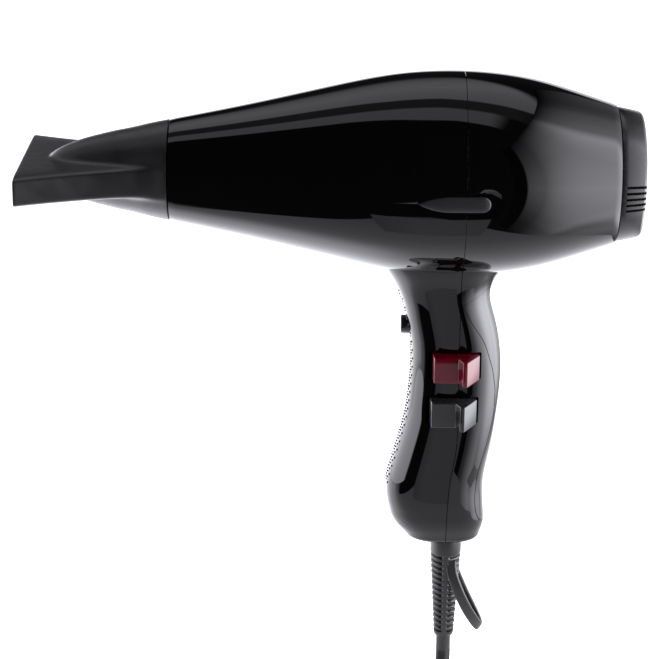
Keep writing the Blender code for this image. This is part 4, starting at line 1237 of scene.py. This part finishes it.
class Graph:
    """Short names for building a value out of shader nodes."""

    def __init__(self, tree):
        self.nodes, self.links = tree.nodes, tree.links

    def feed(self, socket, value):
        if isinstance(value, (int, float)):
            socket.default_value = value
        else:
            self.links.new(value, socket)

    def math(self, operation, first, second=0.0):
        node = self.nodes.new("ShaderNodeMath")
        node.operation = operation
        self.feed(node.inputs[0], first)
        self.feed(node.inputs[1], second)
        return node.outputs[0]

    def follow(self, value, stops):
        """The value read off a line through (place, height) stops."""
        low, high = stops[0][0], stops[-1][0]
        heights = [height for _, height in stops]
        bottom = min(heights)
        spread = (max(heights) - bottom) or 1.0
        node = self.nodes.new("ShaderNodeValToRGB")
        elements = node.color_ramp.elements
        while len(elements) < len(stops):
            elements.new(0.5)
        for element, (place, _) in zip(elements, stops):
            element.position = (place - low) / (high - low)
        for element, height in zip(elements, heights):
            share = (height - bottom) / spread
            element.color = (share, share, share, 1)
        placed = self.math("DIVIDE", self.math("SUBTRACT", value, low), high - low)
        self.feed(node.inputs["Fac"], placed)
        return self.math("ADD", self.math("MULTIPLY", node.outputs["Color"], spread), bottom)

    def above(self, value, edge, soft):
        """1 where value is past the edge, 0 before it."""
        away = self.math("DIVIDE", self.math("SUBTRACT", value, edge), soft)
        node = self.nodes.new("ShaderNodeMapRange")
        node.interpolation_type = "SMOOTHSTEP"
        node.inputs["From Min"].default_value, node.inputs["From Max"].default_value = -0.5, 0.5
        self.feed(node.inputs["Value"], away)
        return node.outputs["Result"]

    def below(self, value, edge, soft):
        return self.math("SUBTRACT", 1.0, self.above(value, edge, soft))

    def product(self, *values):
        result = values[0]
        for value in values[1:]:
            result = self.math("MULTIPLY", result, value)
        return result

    def total(self, *values):
        result = values[0]
        for value in values[1:]:
            result = self.math("ADD", result, value)
        return result


def build_world():
    """Studio seen in the gloss: two strip lights overhead, a pale wall behind and a dark camera side."""
    world = bpy.data.worlds.new("studio")
    bpy.context.scene.world = world
    world.use_nodes = True
    graph = Graph(world.node_tree)
    coordinates = graph.nodes.new("ShaderNodeTexCoord")
    split = graph.nodes.new("ShaderNodeSeparateXYZ")
    graph.links.new(coordinates.outputs["Generated"], split.inputs[0])
    x, y, z = split.outputs
    up = graph.math("MAXIMUM", z, 0.03)
    u, v = graph.math("DIVIDE", x, up), graph.math("DIVIDE", y, up)
    front_edge = graph.follow(u, FRONT_EDGE)
    rear_edge = graph.follow(u, REAR_EDGE)
    second_edge = graph.follow(u, SECOND_EDGE)
    strip_front = graph.product(
        graph.above(v, front_edge, 0.03),
        graph.below(v, rear_edge, 0.05),
        graph.below(u, 0.24, 0.12),
        0.82,
    )
    fade = graph.follow(v, STRIP_FADE)
    slant = graph.math("ADD", u, graph.math("MULTIPLY", v, 0.25))
    strip_rear = graph.product(graph.above(v, second_edge, 0.04), fade, graph.below(slant, 0.52, 0.1))
    gap = graph.product(
        graph.above(v, rear_edge, 0.05),
        graph.below(v, second_edge, 0.05),
        graph.below(u, 0.4, 0.3),
        0.12,
    )
    overhead = graph.product(graph.total(strip_front, strip_rear, gap), graph.above(z, 0.12, 0.1))
    around = graph.math("ABSOLUTE", graph.math("ARCTAN2", x, graph.math("MULTIPLY", y, -1.0)))
    wall_top = graph.follow(around, WALL_TOP)
    wall = graph.product(graph.above(around, 2.0, 0.35), graph.below(z, wall_top, 0.08))
    under = graph.product(graph.below(z, -0.2, 0.2), graph.above(y, -0.3, 0.2))
    seen = graph.total(overhead, graph.math("MULTIPLY", graph.math("MAXIMUM", wall, under), 1.3), 0.02)
    path = graph.nodes.new("ShaderNodeLightPath")
    camera_sees = graph.math("MULTIPLY", path.outputs["Is Camera Ray"], 1.0)
    others = graph.product(seen, graph.math("SUBTRACT", 1.0, camera_sees))
    strength = graph.total(others, graph.math("MULTIPLY", camera_sees, PLAIN_WHITE))
    graph.links.new(strength, graph.nodes["Background"].inputs["Strength"])
    tint = graph.nodes.new("ShaderNodeMix")
    tint.data_type = "RGBA"
    tint.inputs["A"].default_value = STUDIO_WHITE
    tint.inputs["B"].default_value = (1, 1, 1, 1)
    graph.links.new(camera_sees, tint.inputs["Factor"])
    graph.links.new(tint.outputs["Result"], graph.nodes["Background"].inputs["Color"])


def light_card(name, corners, brightness):
    """A glowing flat card that lights the dryer and shows in its gloss.

    brightness(graph, x, y, z) gives its strength from a place in millimetres.
    """
    card = mesh_object(name, corners, [tuple(range(len(corners)))])
    material = bpy.data.materials.new(name)
    material.use_nodes = True
    graph = Graph(material.node_tree)
    graph.nodes.remove(graph.nodes["Principled BSDF"])
    output = graph.nodes["Material Output"]
    emission = graph.nodes.new("ShaderNodeEmission")
    geometry = graph.nodes.new("ShaderNodeNewGeometry")
    split = graph.nodes.new("ShaderNodeSeparateXYZ")
    graph.links.new(geometry.outputs["Position"], split.inputs[0])
    x, y, z = (graph.math("MULTIPLY", value, 1000.0) for value in split.outputs)
    graph.links.new(brightness(graph, x, y, z), emission.inputs["Strength"])
    emission.inputs["Color"].default_value = STUDIO_WHITE
    graph.links.new(emission.outputs[0], output.inputs["Surface"])
    card.data.materials.append(material)
    card.visible_camera = False
    card.visible_shadow = False


TABLE_OUTLINE = (
    *((-900, -60), (-212, -95), (-121, -340), (-20, -365), (60, -238)),
    *((100, -170), (170, -70), (170, 900), (-900, 900)),
)
TABLE_ALONG_Y = ((-345, 0.5), (-250, 0.72), (-120, 0.9), (0, 1.5), (120, 2.0), (400, 2.0))
FRONT_ALONG_X = ((-100, 0.5), (-40, 0.68), (45, 0.62))
RIGHT_ALONG_Y = (
    *((-550, 0.0), (-535, 1.1), (-400, 1.8), (-300, 4.0), (-195, 6.5), (-140, 9.0), (-80, 12.5)),
    *((-20, 13), (30, 10.5), (110, 8), (170, 4.5), (245, 2.7), (600, 1)),
)
RIGHT_UP_Z = (
    *((-600, 0.04), (-330, 0.15), (-200, 0.35), (-90, 0.62), (0, 0.85), (80, 1.0)),
    *((190, 0.85), (320, 0.55), (470, 0.3), (620, 0.1), (700, 0.0)),
)
LEFT_UP_Z = ((-300, 3.0), (0, 5.0), (120, 5.0), (300, 0.0))
FRONT_Y, RIGHT_X, LEFT_X = -170, 250, -430


def build_cards():
    def table(graph, x, y, z):
        beside = (graph.above(y, -40, 90), graph.above(x, -420, 80), graph.below(x, -60, 80), 1.4)
        return graph.total(graph.follow(y, TABLE_ALONG_Y), graph.product(*beside))

    def front(graph, x, y, z):
        return graph.follow(x, FRONT_ALONG_X)

    def right(graph, x, y, z):
        low_back = graph.product(graph.below(z, -150, 130), graph.above(y, -150, 80), 0.6)
        high_back = graph.product(graph.above(z, 90, 100), graph.above(y, -70, 80), 0.6)
        return graph.product(
            graph.follow(y, RIGHT_ALONG_Y),
            graph.follow(z, RIGHT_UP_Z),
            graph.math("SUBTRACT", 1.0, low_back),
            graph.math("SUBTRACT", 1.0, high_back),
        )

    def left(graph, x, y, z):
        return graph.product(graph.above(y, -270.0, 60.0), graph.follow(z, LEFT_UP_Z))

    front_corners = rectangle((-95, -128), (45, 2))
    right_corners = rectangle((-700, -600), (600, 700))
    left_corners = rectangle((-320, -128), (900, 300))
    light_card("table_card", [(x, y, TABLE_Z) for x, y in TABLE_OUTLINE], table)
    light_card("front_card", [(x, FRONT_Y, z) for x, z in front_corners], front)
    light_card("right_card", [(RIGHT_X, y, z) for y, z in right_corners], right)
    light_card("left_card", [(LEFT_X, y, z) for y, z in left_corners], left)


def build_floor():
    """Pale sweep: a floor that rises into a wall far behind."""
    sweep, sweep_y = 500, 1400
    profile = [(-2600, FLOOR_Z), (sweep_y, FLOOR_Z)]
    for angle in np.linspace(0, math.pi / 2, 13)[1:]:
        profile.append((sweep_y + sweep * math.sin(angle), FLOOR_Z + sweep * (1 - math.cos(angle))))
    profile.append((sweep_y + sweep, 3000))
    points, faces = [], []
    for y, z in profile:
        points += [(-3000, y, z), (3000, y, z)]
    for i in range(len(profile) - 1):
        faces.append((2 * i, 2 * i + 1, 2 * i + 3, 2 * i + 2))
    floor = smooth(mesh_object("floor", points, faces), 60)
    material, shader = base_material("floor_white", (0.85, 0.85, 0.85), 0.9)
    shader.inputs["Specular IOR Level"].default_value = 0.0
    shader.inputs["Emission Color"].default_value = (1, 1, 1, 1)
    shader.inputs["Emission Strength"].default_value = 0.85
    floor.data.materials.append(material)
    floor.visible_glossy = False
    floor.visible_shadow = False


bpy.context.scene.view_settings.view_transform = "Standard"
build_floor()
build_world()
build_cards()
